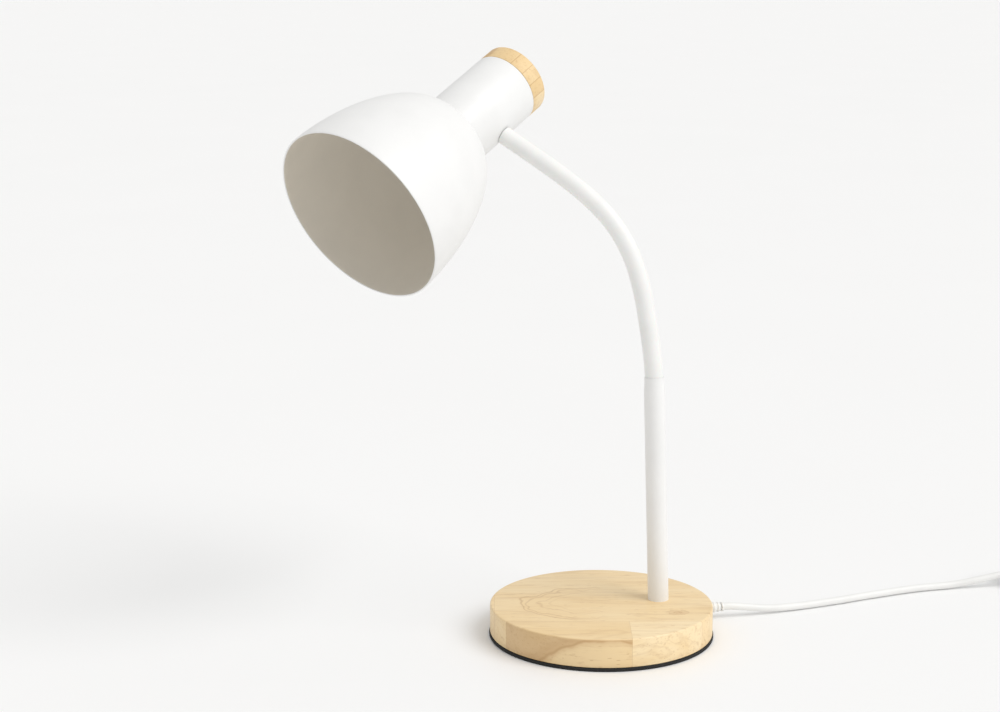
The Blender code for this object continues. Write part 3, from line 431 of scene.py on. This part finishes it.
def plated(name, base, roughness=0.3, streak=1400.0):
    """Zinc or nickel plate: turned marks, blotches and a little tarnish."""
    made = Finish(name, base, roughness, 1.0)
    marks = made.noise(streak, 2.0, place=made.vector("MULTIPLY", made.place, (0.25, 0.25, 1.0)))
    tarnish = made.spread(made.noise(140.0, 4.0), 0.45, 0.8)
    made.set("Base Color", made.mix(tarnish, base, dimmed(base, 0.72)))
    made.set("Roughness", made.spread(marks, 0.25, 0.75, roughness - 0.08, roughness + 0.16))
    made.set("Normal", made.bump(marks, 0.12, 0.0001))
    return made.material


def foam_rubber(name, base):
    """Closed-cell foam with a fine pebbled face."""
    made = Finish(name, base, 0.9)
    cells = made.add("ShaderNodeTexVoronoi", {"Vector": made.place, "Scale": 1300.0}).outputs["Distance"]
    made.set("Base Color", made.mix(made.spread(cells, 0.1, 0.7), dimmed(base, 0.6), dimmed(base, 1.6)))
    made.set("Normal", made.bump(cells, 0.45, 0.0003))
    return made.material


class StripWood(Finish):
    """Pale hardwood glued up from boards, each with its own tone, grain and pores.

    grain_frame has its X along the grain, strip and board are a board's width and length, and shift moves
    the seams across. contrast is how far the boards' tones differ. With far_alike all boards from the middle
    one on share one set of tones and joints. Figures such as a knot are laid over the grain, and sealed()
    comes last.
    """

    def __init__(self, name, tones, grain_frame, strip, board, shift, contrast=0.30, far_alike=False):
        self.light, self.mid, self.dark = tones
        super().__init__(name, self.mid, 0.46, Coat_Weight=0.10, Coat_Roughness=0.35)
        self.strip, self.board, self.contrast = strip, board, contrast
        place = self.seen_from(grain_frame)
        parts = self.add("ShaderNodeSeparateXYZ", {"Vector": place}).outputs
        self.along, self.height = parts["X"], parts["Z"]
        self.across = self.math("ADD", parts["Y"], self.wobble(9.0, 1.0, 0.0006))
        self.strips = self.math("DIVIDE", self.math("ADD", self.across, shift), strip)
        number = self.math("FLOOR", self.strips)
        if far_alike:
            number = self.math("MINIMUM", number, 0.0)
        stagger = self.math("MULTIPLY_ADD", number, 0.553, 0.45)
        self.lengths = self.math("ADD", self.math("DIVIDE", self.along, board), stagger)
        row_seed = self.math("MULTIPLY_ADD", number, 1.67, 0.1)
        seed = self.math("MULTIPLY_ADD", self.math("FLOOR", self.lengths), -2.57, row_seed)
        apart = self.add("ShaderNodeTexWhiteNoise", {"W": seed}, noise_dimensions="1D").outputs["Color"]
        self.local = self.vector("ADD", place, self.vector("MULTIPLY", apart, (3.0, 3.0, 3.0)))
        own_tone = self.math("MULTIPLY_ADD", self.math("SINE", seed), contrast, contrast + 0.06)
        self.tone = self.mix(own_tone, self.light, self.mid)
        self.grain()

    def wobble(self, scale, detail, amount):
        """A wandering value around zero that keeps drawn lines from running too true."""
        return self.math("MULTIPLY", self.math("SUBTRACT", self.noise(scale, detail), 0.5), amount)

    def stretched(self, along, across, height):
        """The board's own coordinates, scaled so that a pattern runs along the grain."""
        return self.vector("MULTIPLY", self.local, (along, across, height))

    def darken(self, where, strength):
        """Lays the dark tone over the wood where a value is 1."""
        self.tone = self.mix(self.math("MULTIPLY", where, strength), self.tone, self.dark)

    def warm(self, where, strength):
        """Lays the main tone over the wood where a value is 1."""
        self.tone = self.mix(self.math("MULTIPLY", where, strength), self.tone, self.mid)

    def both(self, a, b):
        return self.math("MULTIPLY", a, b)

    def near_line(self, value, at, reach):
        """1 where a value is at a line's value, falling to 0 at reach on both sides."""
        return self.spread(self.math("ABSOLUTE", self.math("SUBTRACT", value, at)), reach, 0.0)

    def share_of(self, value, middle, half):
        """How far a value is from a middle, counted in halves of a figure's width."""
        return self.math("DIVIDE", self.math("SUBTRACT", value, middle), half)

    def grain(self):
        """Broad clouds, bands of late wood, fine fibres and short dashes."""
        bands = self.noise(1.0, 2.0, 0.45, 1.2, self.stretched(5.0, 30.0, 34.0))
        rings = self.math("PINGPONG", self.math("MULTIPLY", bands, 8.0), 1.0)
        self.fine = self.noise(1.0, 4.0, 0.6, 0.2, self.stretched(24.0, 560.0, 560.0))
        dashes = self.noise(1.0, 2.0, 0.55, 0.3, self.stretched(70.0, 420.0, 420.0))
        broad = self.noise(1.0, 3.0, 0.5, 0.6, self.stretched(7.0, 60.0, 60.0))
        self.warm(self.spread(broad, 0.38, 0.66), 0.60)
        self.darken(self.spread(rings, 0.70, 1.0), 0.16)
        self.darken(self.spread(self.fine, 0.50, 0.78), 0.30)
        self.darken(self.spread(dashes, 0.58, 0.74), 0.30)

    def swirl(self, along, across, half_along, half_across):
        """A flat-sawn figure: nested late-wood rings that fade out at one end."""
        dx = self.share_of(self.along, along, half_along)
        dy = self.share_of(self.across, across, half_across)
        away = self.math("ADD", self.away(dx, dy), self.wobble(40.0, 2.5, 0.9))
        open_end = self.spread(dx, 0.75, -0.35)
        self.warm(self.both(self.spread(away, 1.04, 0.94), open_end), 0.32)
        for ring, strength in ((1.0, 0.50), (0.88, 0.36), (0.66, 0.28), (0.48, 0.16)):
            self.darken(self.both(self.near_line(away, ring, 0.040), open_end), strength)

    def arch(self, along, height, half_along, half_height, top):
        """An arched late-wood line on the near board's edge, below top, with darker wood outside it."""
        dx = self.share_of(self.along, along, half_along)
        dz = self.share_of(self.height, height, half_height)
        away = self.math("ADD", self.away(dx, dz), self.wobble(60.0, 2.0, 0.16))
        near_board = self.both(
            self.math("LESS_THAN", self.lengths, 0.0), self.math("LESS_THAN", self.strips, 0.0)
        )
        edge = self.both(near_board, self.spread(self.height, top - 0.0001, top - 0.0011))
        self.darken(self.both(self.spread(away, 0.86, 1.10), edge), 0.44)
        self.darken(self.both(self.near_line(away, 1.0, 0.035), edge), 0.55)
        self.darken(self.both(self.near_line(away, 1.04, 0.16), edge), 0.30)

    def knot(self, along, across, half_along, half_across):
        """A pin knot with close rings round it."""
        dx = self.share_of(self.along, along, half_along)
        dy = self.share_of(self.across, across, half_across)
        away = self.math("ADD", self.away(dx, dy), self.wobble(260.0, 2.0, 1.2))
        rings = self.spread(self.math("PINGPONG", self.math("MULTIPLY", away, 4.0), 1.0), 0.5, 1.0)
        near = self.spread(away, 1.2, 0.3)
        self.darken(near, 0.30)
        self.darken(self.both(near, rings), 0.55)

    def seam(self, count, half_width):
        """The glue line between two boards; half_width is a share of the board."""
        off = self.math("ABSOLUTE", self.math("SUBTRACT", self.math("FRACT", count), 0.5))
        return self.spread(off, 0.5 - half_width, 0.5)

    def pores(self):
        """Open pores, short and along the grain, in a few cells of a fine pattern."""
        fine_cells = self.stretched(170.0, 1250.0, 1250.0)
        cells = self.add("ShaderNodeTexVoronoi", {"Vector": fine_cells, "Scale": 1.0})
        pick = self.add("ShaderNodeSeparateColor", {"Color": cells.outputs["Color"]}).outputs[0]
        dots = self.spread(cells.outputs["Distance"], 0.36, 0.18)
        return self.both(dots, self.math("GREATER_THAN", pick, 0.93))

    def sealed(self):
        """Draws the seams and pores, sets the lacquer's sheen and relief, and gives the material."""
        side_seams = self.seam(self.strips, 0.001 * self.contrast / self.strip)
        end_seams = self.seam(self.lengths, 0.0002 / self.board)
        joints = self.math("MAXIMUM", side_seams, end_seams)
        self.darken(joints, 0.30 + 0.5 * self.contrast)
        pores = self.pores()
        self.darken(pores, 0.55)
        self.set("Base Color", self.tone)
        self.set("Roughness", self.spread(self.fine, 0.2, 0.8, 0.40, 0.56))
        cuts = self.math("MAXIMUM", pores, joints)
        relief = self.math("SUBTRACT", self.math("MULTIPLY", self.fine, -0.35), cuts)
        self.set("Normal", self.bump(relief, 0.22, 0.0002))
        return self.material


def base_wood(name, tones):
    """Three wide boards across the base, with a swirl on top, an arch on the near edge and one pin knot."""
    grain = Matrix.Rotation(radians(CAMERA_AZIMUTH), 4, "Z")
    wood = StripWood(name, tones, grain, strip=0.077, board=0.160, shift=0.0385, far_alike=True)
    wood.swirl(along=-0.015, across=-0.003, half_along=0.038, half_across=0.034)
    wood.arch(0.0, -0.020, half_along=0.052, half_height=0.041, top=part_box("base_disc")[1].z)
    wood.knot(along=0.050, across=-0.020, half_along=0.0085, half_across=0.0060)
    return wood.sealed()


def cap_wood(name, tones):
    """Narrow strips across the cap, with more difference between them."""
    grain = head_axis() @ Matrix.Rotation(radians(-50), 4, "Z")
    return StripWood(name, tones, grain, strip=0.0095, board=0.090, shift=0.003, contrast=0.50).sealed()


def studio_floor(name, base):
    """Smooth pale paper, very slightly uneven in tone."""
    made = Finish(name, base, 0.6)
    made.set("Base Color", made.mix(made.spread(made.noise(3.0, 3.0), 0.3, 0.7), base, dimmed(base, 0.995)))
    return made.material


class LAMP_OT_finishes(bpy.types.Operator):
    """The paints, woods, plastics and metals that the pieces wear"""

    bl_idname = "lamp.finishes"
    bl_label = "Finishes"

    def execute(self, context):
        colours = context.scene.lamp_colours
        paint, inside = tuple(colours.paint), tuple(colours.paint_inside)
        sleeve, cord, foam = tuple(colours.sleeve), tuple(colours.cord), tuple(colours.foam)
        tones = (tuple(colours.wood_light), tuple(colours.wood_mid), tuple(colours.wood_dark))
        soft = {"Subsurface_Weight": 0.06, "Subsurface_Scale": 0.002}
        FINISHES.update(
            paint=powder_coat("white_powder_coat", paint),
            # The coat inside the dome is the white paint darkened to a warm grey as painted shade, with a rougher
            # matt finish.
            paint_inside=powder_coat("dome_inside_coat_and_painted_shade", inside, 0.60),
            sleeve=soft_plastic("soft_white_sleeve", sleeve, 0.46, **soft),
            cord=soft_plastic("white_cord_sheath", cord, 0.44, 1500.0),
            wire=soft_plastic("grey_wire_sheath", (0.62, 0.62, 0.60), 0.5),
            base_wood=base_wood("glued_strip_wood", tones),
            cap_wood=cap_wood("cap_strip_wood", tones),
            foam=foam_rubber("black_foam", foam),
            zinc=plated("zinc_plate", (0.62, 0.62, 0.61), 0.30),
            iron=plated("oiled_plate", (0.14, 0.14, 0.145), 0.45, 700.0),
            brass=plated("brass", (0.80, 0.58, 0.26), 0.26),
            nickel=plated("nickel_plate", (0.72, 0.70, 0.66), 0.20),
            holder=soft_plastic("white_holder_resin", (0.80, 0.79, 0.76), 0.38, 1200.0),
            white_plastic=soft_plastic("white_moulding", (0.83, 0.83, 0.815), 0.36, 1600.0),
            black_plastic=soft_plastic("black_moulding", (0.025, 0.025, 0.025), 0.52, 900.0),
            strap=soft_plastic("black_strap", (0.02, 0.02, 0.022), 0.85, 2200.0, 0.3),
            rocker=soft_plastic("grey_rocker", (0.66, 0.66, 0.65), 0.30, 1800.0),
        )
        return {"FINISHED"}


# ---------------------------------------------------------------- the mains cord
# The cord's route in metres, from the gland's mouth to the coil and from the coil to the plug.
CORD_START = (-0.0140, 0.0892, 0.0080)
CORD_TO_SWITCH = (
    (-0.0140, 0.0965, 0.0080),
    (-0.0143, 0.1060, 0.0068),
    (-0.0160, 0.1240, 0.0040),
    (-0.0190, 0.1450, 0.0029),
    (-0.0245, 0.1750, 0.0028),
    (-0.0330, 0.2100, 0.0028),
    (-0.0400, 0.2450, 0.0028),
    (-0.0420, 0.2750, 0.0030),
    (-0.0405, 0.2960, 0.0062),
    (-0.0400, 0.3125, 0.0088),
    (-0.0400, 0.3177, 0.0088),
)
CORD_PAST_SWITCH = ((-0.0400, 0.3803, 0.0088), (-0.0400, 0.3855, 0.0088), (-0.0400, 0.3960, 0.0064))
CORD_TO_COIL = ((-0.0400, 0.4080, 0.0046), (-0.0400, 0.4190, 0.0038))
CORD_TO_PLUG = (
    (0.0380, 0.4190, 0.0091),
    (0.0380, 0.4080, 0.0091),
    (0.0380, 0.4030, 0.0086),
    (0.0380, 0.3965, 0.0080),
    (0.0380, 0.3900, 0.0080),
)
CORD_SPACING = 0.0026
COIL_CENTRE = (-0.0010, 0.4300)
COIL_RADIUS = 0.0312
COIL_LOW = 0.0038
COIL_TURNS = 7.5
STEPS_PER_TURN = 48


def eased(value, low, high):
    """0 below low and 1 above high, with a soft start and end between them."""
    share = min(1.0, max(0.0, (value - low) / (high - low)))
    return share * share * (3 - 2 * share)


def coil_points(diameter):
    """The cord's turns, clockwise from the -X side: four across going in, then four on top coming out."""
    points = []
    steps = round(COIL_TURNS * STEPS_PER_TURN)
    for step in range(steps + 1):
        turns = COIL_TURNS * step / steps
        # The cord steps inwards near the end of each lower turn, up once, and outwards on the upper turns.
        column = 1.5
        for k in range(3):
            column -= eased(turns, k + 0.82, k + 1.0)
            column += eased(turns, k + 4.46, k + 4.64)
        column += 0.2 * eased(turns, 7.30, 7.46)
        level = eased(turns, 3.64, 3.82)
        radius = COIL_RADIUS + column * diameter
        angle = pi - 2 * pi * turns
        points.append(
            (
                COIL_CENTRE[0] + radius * cos(angle),
                COIL_CENTRE[1] + radius * sin(angle),
                COIL_LOW + level * diameter,
            )
        )
    return points


class LAMP_OT_cord(bpy.types.Operator):
    """The mains cord from the gland through the switch and its coil to the plug"""

    bl_idname = "lamp.cord"
    bl_label = "Mains cord"

    def execute(self, context):
        diameter = context.scene.lamp_sizes.cord_diameter
        route = [CORD_START, *CORD_TO_SWITCH, *CORD_PAST_SWITCH, *CORD_TO_COIL]
        route += [*coil_points(diameter), *CORD_TO_PLUG[1:]]
        points = flowing(route, CORD_SPACING)
        curve = bpy.data.curves.new("mains_cord", "CURVE")
        curve.dimensions = "3D"
        curve.bevel_depth = diameter / 2
        curve.bevel_resolution = 6
        curve.use_fill_caps = True
        spline = curve.splines.new("POLY")
        spline.points.add(len(points) - 1)
        for target, point in zip(spline.points, points):
            target.co = (*point, 1.0)
        spline.use_smooth = True
        curve.materials.append(FINISHES["cord"])
        piece = bpy.data.objects.new("mains_cord", curve)
        context.scene.collection.objects.link(piece)
        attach(piece, "lamp_foot")
        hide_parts("mains_cord_a", "mains_cord_b", "mains_cord_c", "cord_coil")

        foot, white = "lamp_foot", "white_plastic"
        tie = refined("coil_strap", "cord_tie", "strap", foot, 0.0003)
        switch = [
            refined("switch_lower", "switch_base", white, foot, 0.0007, 3),
            refined("switch_upper", "switch_cover", white, foot, 0.0007, 3),
            refined("rocker", "switch_rocker", "rocker", "rocker", 0.0003),
        ]
        plug = refined("plug", "plug_body", white, foot, 0.0010, 3)
        for side in ("left", "right"):
            refined(f"pin_{side}", f"plug_pin_{side}", "nickel", foot)
        return {"FINISHED"}


# ---------------------------------------------------------------- camera and studio
# An even pale sky and one broad window. The window's width is an angle in degrees, and its side is a
# direction to the right, away and up, as the camera sees it.
SKY_COLOUR = (1.0, 1.0, 0.995, 1.0)
SKY_STRENGTH = 0.70
WINDOW_COLOUR = (1.0, 0.99, 0.975)
WINDOW_STRENGTH = 1.5
WINDOW_WIDTH = 40.0
WINDOW_SIDE = (0.95, -0.50, 1.15)
FLOOR_HALF = 30.0
FLOOR_GAP = 0.0002
SENSOR_WIDTH = 36.0


class LAMP_OT_camera(bpy.types.Operator):
    """The camera at the usual viewing angle"""

    bl_idname = "lamp.camera"
    bl_label = "Camera"

    def execute(self, context):
        lens = bpy.data.cameras.new("camera")
        lens.lens = CAMERA_LENS
        lens.sensor_width = SENSOR_WIDTH
        camera = bpy.data.objects.new("camera", lens)
        camera.location = CAMERA_PLACE
        camera.rotation_euler = (radians(90 - CAMERA_DOWN), 0.0, radians(CAMERA_AZIMUTH))
        context.scene.collection.objects.link(camera)
        context.scene.camera = camera
        return {"FINISHED"}


def from_camera(right, away, up):
    """A world direction from its parts to the right, away and up, as the camera sees them."""
    turn = Matrix.Rotation(radians(CAMERA_AZIMUTH), 3, "Z")
    return turn @ Vector((right, away, up))


class LAMP_OT_stage(bpy.types.Operator):
    """A plain pale floor and soft studio light"""

    bl_idname = "lamp.stage"
    bl_label = "Studio"

    def execute(self, context):
        bm = bmesh.new()
        bmesh.ops.create_grid(bm, x_segments=2, y_segments=2, size=FLOOR_HALF)
        mesh = bpy.data.meshes.new("studio_floor")
        bm.to_mesh(mesh)
        bm.free()
        mesh.materials.append(studio_floor("studio_floor", tuple(context.scene.lamp_colours.floor)))
        floor = bpy.data.objects.new("studio_floor", mesh)
        floor.location.z = -FLOOR_GAP
        context.scene.collection.objects.link(floor)

        world = bpy.data.worlds.new("studio")
        world.use_nodes = True
        sky = world.node_tree.nodes["Background"]
        sky.inputs["Color"].default_value = SKY_COLOUR
        sky.inputs["Strength"].default_value = SKY_STRENGTH
        context.scene.world = world
        sun = bpy.data.lights.new("window", "SUN")
        sun.energy = WINDOW_STRENGTH
        sun.angle = radians(WINDOW_WIDTH)
        sun.color = WINDOW_COLOUR
        window = bpy.data.objects.new("window", sun)
        window.rotation_euler = from_camera(*WINDOW_SIDE).to_track_quat("Z", "Y").to_euler()
        context.scene.collection.objects.link(window)
        context.scene.view_settings.view_transform = "Standard"
        return {"FINISHED"}


# ---------------------------------------------------------------- base and stem
class LAMP_OT_base(bpy.types.Operator):
    """The wooden disc, its pad and the parts in its recess"""

    bl_idname = "lamp.base"
    bl_label = "Base"

    def execute(self, context):
        sizes = context.scene.lamp_sizes
        low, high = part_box("base_disc")
        radius, recess = high.x, sizes.base_recess_radius
        roof = high.z - sizes.base_roof
        outline = [(0, roof), (recess, roof), (recess, low.z), (radius, low.z), (radius, high.z), (0, high.z)]
        wood = turned(outline, sizes.turn_steps, closed=False)
        soften(wood, sizes.base_edge, 4, lambda edge: edge.verts[0].co.z > roof + NEAR)
        soften(wood, sizes.base_edge / 2, 2, lambda edge: edge.verts[0].co.z < low.z + NEAR)
        finish_piece("wooden_base", wood, ("base_wood",), "lamp_foot", ("base_disc",))

        low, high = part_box("base_pad")
        outline = [(0, low.z), (high.x, low.z), (high.x, high.z), (0, high.z)]
        pad = turned(outline, sizes.turn_steps, closed=False)
        soften(pad, 0.0004, 2)
        finish_piece("foam_pad", pad, ("foam",), "lamp_foot", ("base_pad",))
        refined("ballast", "ballast_plate", "iron", "lamp_foot", 0.0005)
        refined("terminals", "terminal_block", "white_plastic", "lamp_foot", 0.0002)
        refined("clamp", "cord_clamp", "black_plastic", "lamp_foot", 0.0002)
        return {"FINISHED"}


class LAMP_OT_gland(bpy.types.Operator):
    """The tapered strain relief where the cord leaves the base"""

    bl_idname = "lamp.gland"
    bl_label = "Cord gland"

    def execute(self, context):
        low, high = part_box("cord_gland")
        middle = (low + high) / 2
        play, stand_off = 0.0002, 0.0005
        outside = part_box("base_disc")[1].y + stand_off
        bore = context.scene.lamp_sizes.cord_diameter / 2 + play
        flange, flange_end, body = 0.0052, low.y + 0.0014, 0.0042
        outline = [(bore, low.y), (flange, low.y), (flange, flange_end), (body, flange_end), (body, outside)]
        ribs, taper, groove = 5, 0.0010, 0.0004
        groove_start, groove_end, rib_start, rib_fall = 0.0006, 0.0014, 0.0019, 0.0001
        pitch = (high.y - outside) / ribs
        for k in range(ribs):
            start = outside + pitch * k
            radius = body - taper * (k + 1) / ribs
            outline += [
                (radius - groove, start + groove_start),
                (radius - groove, start + groove_end),
                (radius, start + rib_start),
                (radius - rib_fall, start + pitch - play),
            ]
        outline += [(bore + play, high.y), (bore, high.y)]
        gland = turned(outline, 40)
        place = upright((middle.x, 0, middle.z), (0, 1, 0))
        finish_piece(
            "gland", gland, ("white_plastic",), "lamp_foot", ("cord_gland",), matrix=place
        )
        return {"FINISHED"}


class LAMP_OT_stem(bpy.types.Operator):
    """The white stem, narrowed at its top to a thin lip round the sleeve"""

    bl_idname = "lamp.stem"
    bl_label = "Stem"

    def execute(self, context):
        sizes = context.scene.lamp_sizes
        place, height = stem_axis()
        radius, bore = sizes.stem_diameter / 2, sizes.stem_diameter / 2 - sizes.sheet
        play, lip_wall, lip_depth = 0.0001, 0.0003, 0.002
        mouth = sizes.sleeve_diameter / 2 + play
        lip, lip_foot = mouth + lip_wall, height - lip_depth
        outline = [(mouth, height), (mouth, lip_foot), (bore, lip_foot), (bore, 0), (radius, 0)]
        steps = 10
        for k in range(steps + 1):
            share = k / steps
            ease = (1 - cos(pi * share)) / 2
            outline.append((radius + (lip - radius) * ease, height - sizes.stem_taper * (1 - share)))
        tube = turned(outline, 64)
        finish_piece("stem", tube, ("paint",), "lamp_foot", ("stem_tube",), matrix=place)
        return {"FINISHED"}


# ---------------------------------------------------------------- neck
class LAMP_OT_neck(bpy.types.Operator):
    """The soft sleeve over the bending hose, one smooth piece across each hinge"""

    bl_idname = "lamp.neck"
    bl_label = "Neck sleeve"

    def execute(self, context):
        sizes = context.scene.lamp_sizes
        play, beyond_neck, nudge, margin = 0.0002, 0.024, 0.02, 0.08
        stations = neck_stations()
        end = float(LINKS + 1)
        foot, _ = stem_axis()
        outer, inner = sizes.sleeve_diameter / 2, sizes.hose_diameter / 2 + play
        up = foot.col[2].to_3d()
        into_head = Vector(JOINTS["head_swivel"]["axis"]).normalized()
        before = stations[0] - up * sizes.first_hinge
        after = stations[-1] + into_head * beyond_neck
        line = [before, *stations, after]
        across = Vector(JOINTS["neck_bend_1"]["axis"])

        def point(at):
            """A point on the centreline; whole numbers are the foot, the hinges and the end."""
            k = min(int(at), LINKS)
            return between(*line[k : k + 4], at - k)

        def direction(at):
            near, far = max(0.0, at - nudge), min(end, at + nudge)
            return (point(far) - point(near)).normalized()

        # Each piece runs from the middle of one link to the middle of the next and bends at their hinge.
        steps = 14
        cuts = [0.0, *[k + 0.5 for k in range(1, LINKS + 1)], end]
        bodies = ["lamp_foot", *[f"link_{k}" for k in range(1, LINKS + 1)]]
        for k, (low, high) in enumerate(zip(cuts, cuts[1:])):
            where = [low + (high - low) * step / steps for step in range(steps + 1)]
            bm = tube_through([(point(at), direction(at)) for at in where], across, outer, inner)
            last = k == LINKS
            nodes = ["sleeve_root"] if last else [f"sleeve_{k + 1}"]
            rides_on = bodies[k] if last else None
            piece = finish_piece(f"sleeve_part_{k + 1}", bm, ("sleeve",), rides_on, nodes, 60)
            if not last:
                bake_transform(piece)
        return {"FINISHED"}


# ---------------------------------------------------------------- head
class LAMP_OT_housing(bpy.types.Operator):
    """The straight neck housing and its wooden cap"""

    bl_idname = "lamp.housing"
    bl_label = "Housing and cap"

    def execute(self, context):
        sizes = context.scene.lamp_sizes
        place = head_axis()
        radius = sizes.housing_diameter / 2
        hairline, spigot_play = 0.0001, 0.0003
        low, high = -sizes.housing_below + hairline, sizes.housing_above - hairline
        bore = radius - sizes.sheet
        hole = sizes.holder_hole
        outline = [
            (radius, high),
            (radius, low),
            (hole, low),
            (hole, low + sizes.sheet),
            (bore, low + sizes.sheet),
            (bore, high),
        ]
        tube = turned(outline, sizes.turn_steps)
        soften(tube, 0.00025, 2)
        finish_piece(
            "housing", tube, ("paint",), "head", ("neck_housing",), matrix=place
        )

        low, high = sizes.housing_above + 2 * hairline, sizes.housing_above + sizes.cap_thickness
        spigot = bore - spigot_play
        foot = low - sizes.cap_spigot
        outline = [(0, foot), (spigot, foot), (spigot, low), (radius, low), (radius, high), (0, high)]
        cap = turned(outline, sizes.turn_steps, closed=False)

        def on_seat_rim(edge):
            corner = edge.verts[0].co
            return abs(corner.z - low) < NEAR and corner.to_2d().length > spigot + NEAR

        soften(cap, 0.0010, 4, lambda edge: edge.verts[0].co.z > low + NEAR)
        soften(cap, 0.0004, 2, on_seat_rim)
        finish_piece("wooden_cap", cap, ("cap_wood",), "head", ("neck_cap",), matrix=place)
        return {"FINISHED"}


class LAMP_OT_shade(bpy.types.Operator):
    """The dome shade, painted white outside; inside, the white paint is darkened to a warm matt grey as painted
    shade
    """

    bl_idname = "lamp.shade"
    bl_label = "Shade"

    def execute(self, context):
        sizes = context.scene.lamp_sizes
        top = sizes.housing_diameter / 2
        spread = sizes.shade_diameter / 2 - top
        shoulder = -sizes.housing_below
        rim = shoulder - sizes.shade_depth
        wall = sizes.sheet
        steps = 40
        outside = [(sizes.holder_hole, shoulder)]
        inside = [(sizes.holder_hole, shoulder - wall)]
        for k in range(steps + 1):
            angle = radians(90 * k / steps)
            across = sin(angle) ** sizes.shade_flatness
            along = max(0.0, cos(angle)) ** sizes.shade_flatness
            outside.append((top + spread * across, rim + sizes.shade_depth * along))
            inside.append((top + (spread - wall) * across, rim + (sizes.shade_depth - wall) * along))
        dome = turned(outside + inside[::-1], sizes.turn_steps)
        soften(dome, 0.00035, 3, lambda edge: edge.verts[0].co.z < rim + NEAR, 60)
        # Faces that look into the dome, above the rim's edge, take the second coat, which is the paint darkened as
        # painted shade.
        lip, ceiling = rim + 0.0004, shoulder - 4 * wall
        for face in dome.faces:
            height = face.calc_center_median().z
            looks_in = outwardness(face) < -0.02 or (face.normal.z < -0.5 and height > ceiling)
            face.material_index = 1 if looks_in and height > lip else 0
        coats, place = ("paint", "paint_inside"), head_axis()
        finish_piece("shade", dome, coats, "head", ("shade_dome",), matrix=place)
        return {"FINISHED"}


class LAMP_OT_holder(bpy.types.Operator):
    """The lampholder with its threaded shell, clamping ring and contact"""

    bl_idname = "lamp.holder"
    bl_label = "Lampholder"

    def execute(self, context):
        place = head_axis()
        refined("lampholder", "holder_body", "holder", "head", 0.0005)
        middle = (place.inverted() @ centre("shade_ring")).z
        outer, inner, half, margin, groove = 0.0233, 0.0203, 0.0025, 0.0002, 0.0004
        corners = [(outer, half), (outer, -half), (inner, -half), (inner, half)]
        ring = turned([(radius, middle + height) for radius, height in corners], 96)
        rim = [face for face in ring.faces if outwardness(face) > 0.9]
        bmesh.ops.inset_individual(ring, faces=rim[::2], thickness=margin, depth=-groove)
        finish_piece(
            "shade_clamp_ring", ring, ("holder",), "head", ("shade_ring",), matrix=place
        )

        middle = (place.inverted() @ centre("holder_screw_shell")).z
        crest, tall, pitch, depth, wall = 0.0147, 0.0217, 0.0036, 0.0007, 0.0006
        steps = 48
        outside, inside = [], []
        for k in range(steps + 1):
            height = middle - tall / 2 + tall * k / steps
            wave = depth * (0.5 + 0.5 * cos(2 * pi * height / pitch))
            outside.append((crest - wave, height))
            inside.append((crest - wave - wall, height))
        shell = turned(outside + inside[::-1], 64)
        finish_piece(
            "thread_shell", shell, ("brass",), "head", ("holder_screw_shell",), matrix=place
        )
        refined("contact", "holder_contact", "brass", "head", 0.0001, 1)
        return {"FINISHED"}


class LAMP_OT_fittings(bpy.types.Operator):
    """Finishes for the nuts, washers, screws, hose and wires inside the lamp"""

    bl_idname = "lamp.fittings"
    bl_label = "Inner fittings"

    def execute(self, context):
        finishes = {
            "bright_steel": FINISHES["zinc"],
            "wire_sheath": FINISHES["wire"],
            "black_plastic": FINISHES["black_plastic"],
            "white_cord": FINISHES["cord"],
        }
        slots = {part["node"]: part["material_slot"] for part in frame["record"]["subparts"]}
        for name, node in NODES.items():
            if node.hide_render or slots[name] not in finishes:
                continue
            for held in node.material_slots:
                held.material = finishes[slots[name]]
        return {"FINISHED"}


# ---------------------------------------------------------------- the add-on
STEPS = (
    LAMP_OT_camera,
    LAMP_OT_finishes,
    LAMP_OT_cord,
    LAMP_OT_stage,
    LAMP_OT_base,
    LAMP_OT_gland,
    LAMP_OT_stem,
    LAMP_OT_neck,
    LAMP_OT_housing,
    LAMP_OT_shade,
    LAMP_OT_holder,
    LAMP_OT_fittings,
)


class LAMP_PT_panel(bpy.types.Panel):
    """Buttons and settings of the lamp"""

    bl_idname = "LAMP_PT_panel"
    bl_label = "Gooseneck desk lamp"
    bl_space_type = "VIEW_3D"
    bl_region_type = "UI"
    bl_category = "Lamp"

    def draw(self, context):
        for step in STEPS:
            self.layout.operator(step.bl_idname)
        for group in (context.scene.lamp_sizes, context.scene.lamp_colours):
            box = self.layout.box()
            for name in group.__annotations__:
                box.prop(group, name)


CLASSES = (LampSizes, LampColours, *STEPS, LAMP_PT_panel)


def register():
    for item in CLASSES:
        bpy.utils.register_class(item)
    bpy.types.Scene.lamp_sizes = PointerProperty(type=LampSizes)
    bpy.types.Scene.lamp_colours = PointerProperty(type=LampColours)


def unregister():
    del bpy.types.Scene.lamp_colours
    del bpy.types.Scene.lamp_sizes
    for item in reversed(CLASSES):
        bpy.utils.unregister_class(item)


def main():
    register()
    for step in STEPS:
        family, name = step.bl_idname.split(".")
        getattr(getattr(bpy.ops, family), name)()


if __name__ == "__main__":
    main()
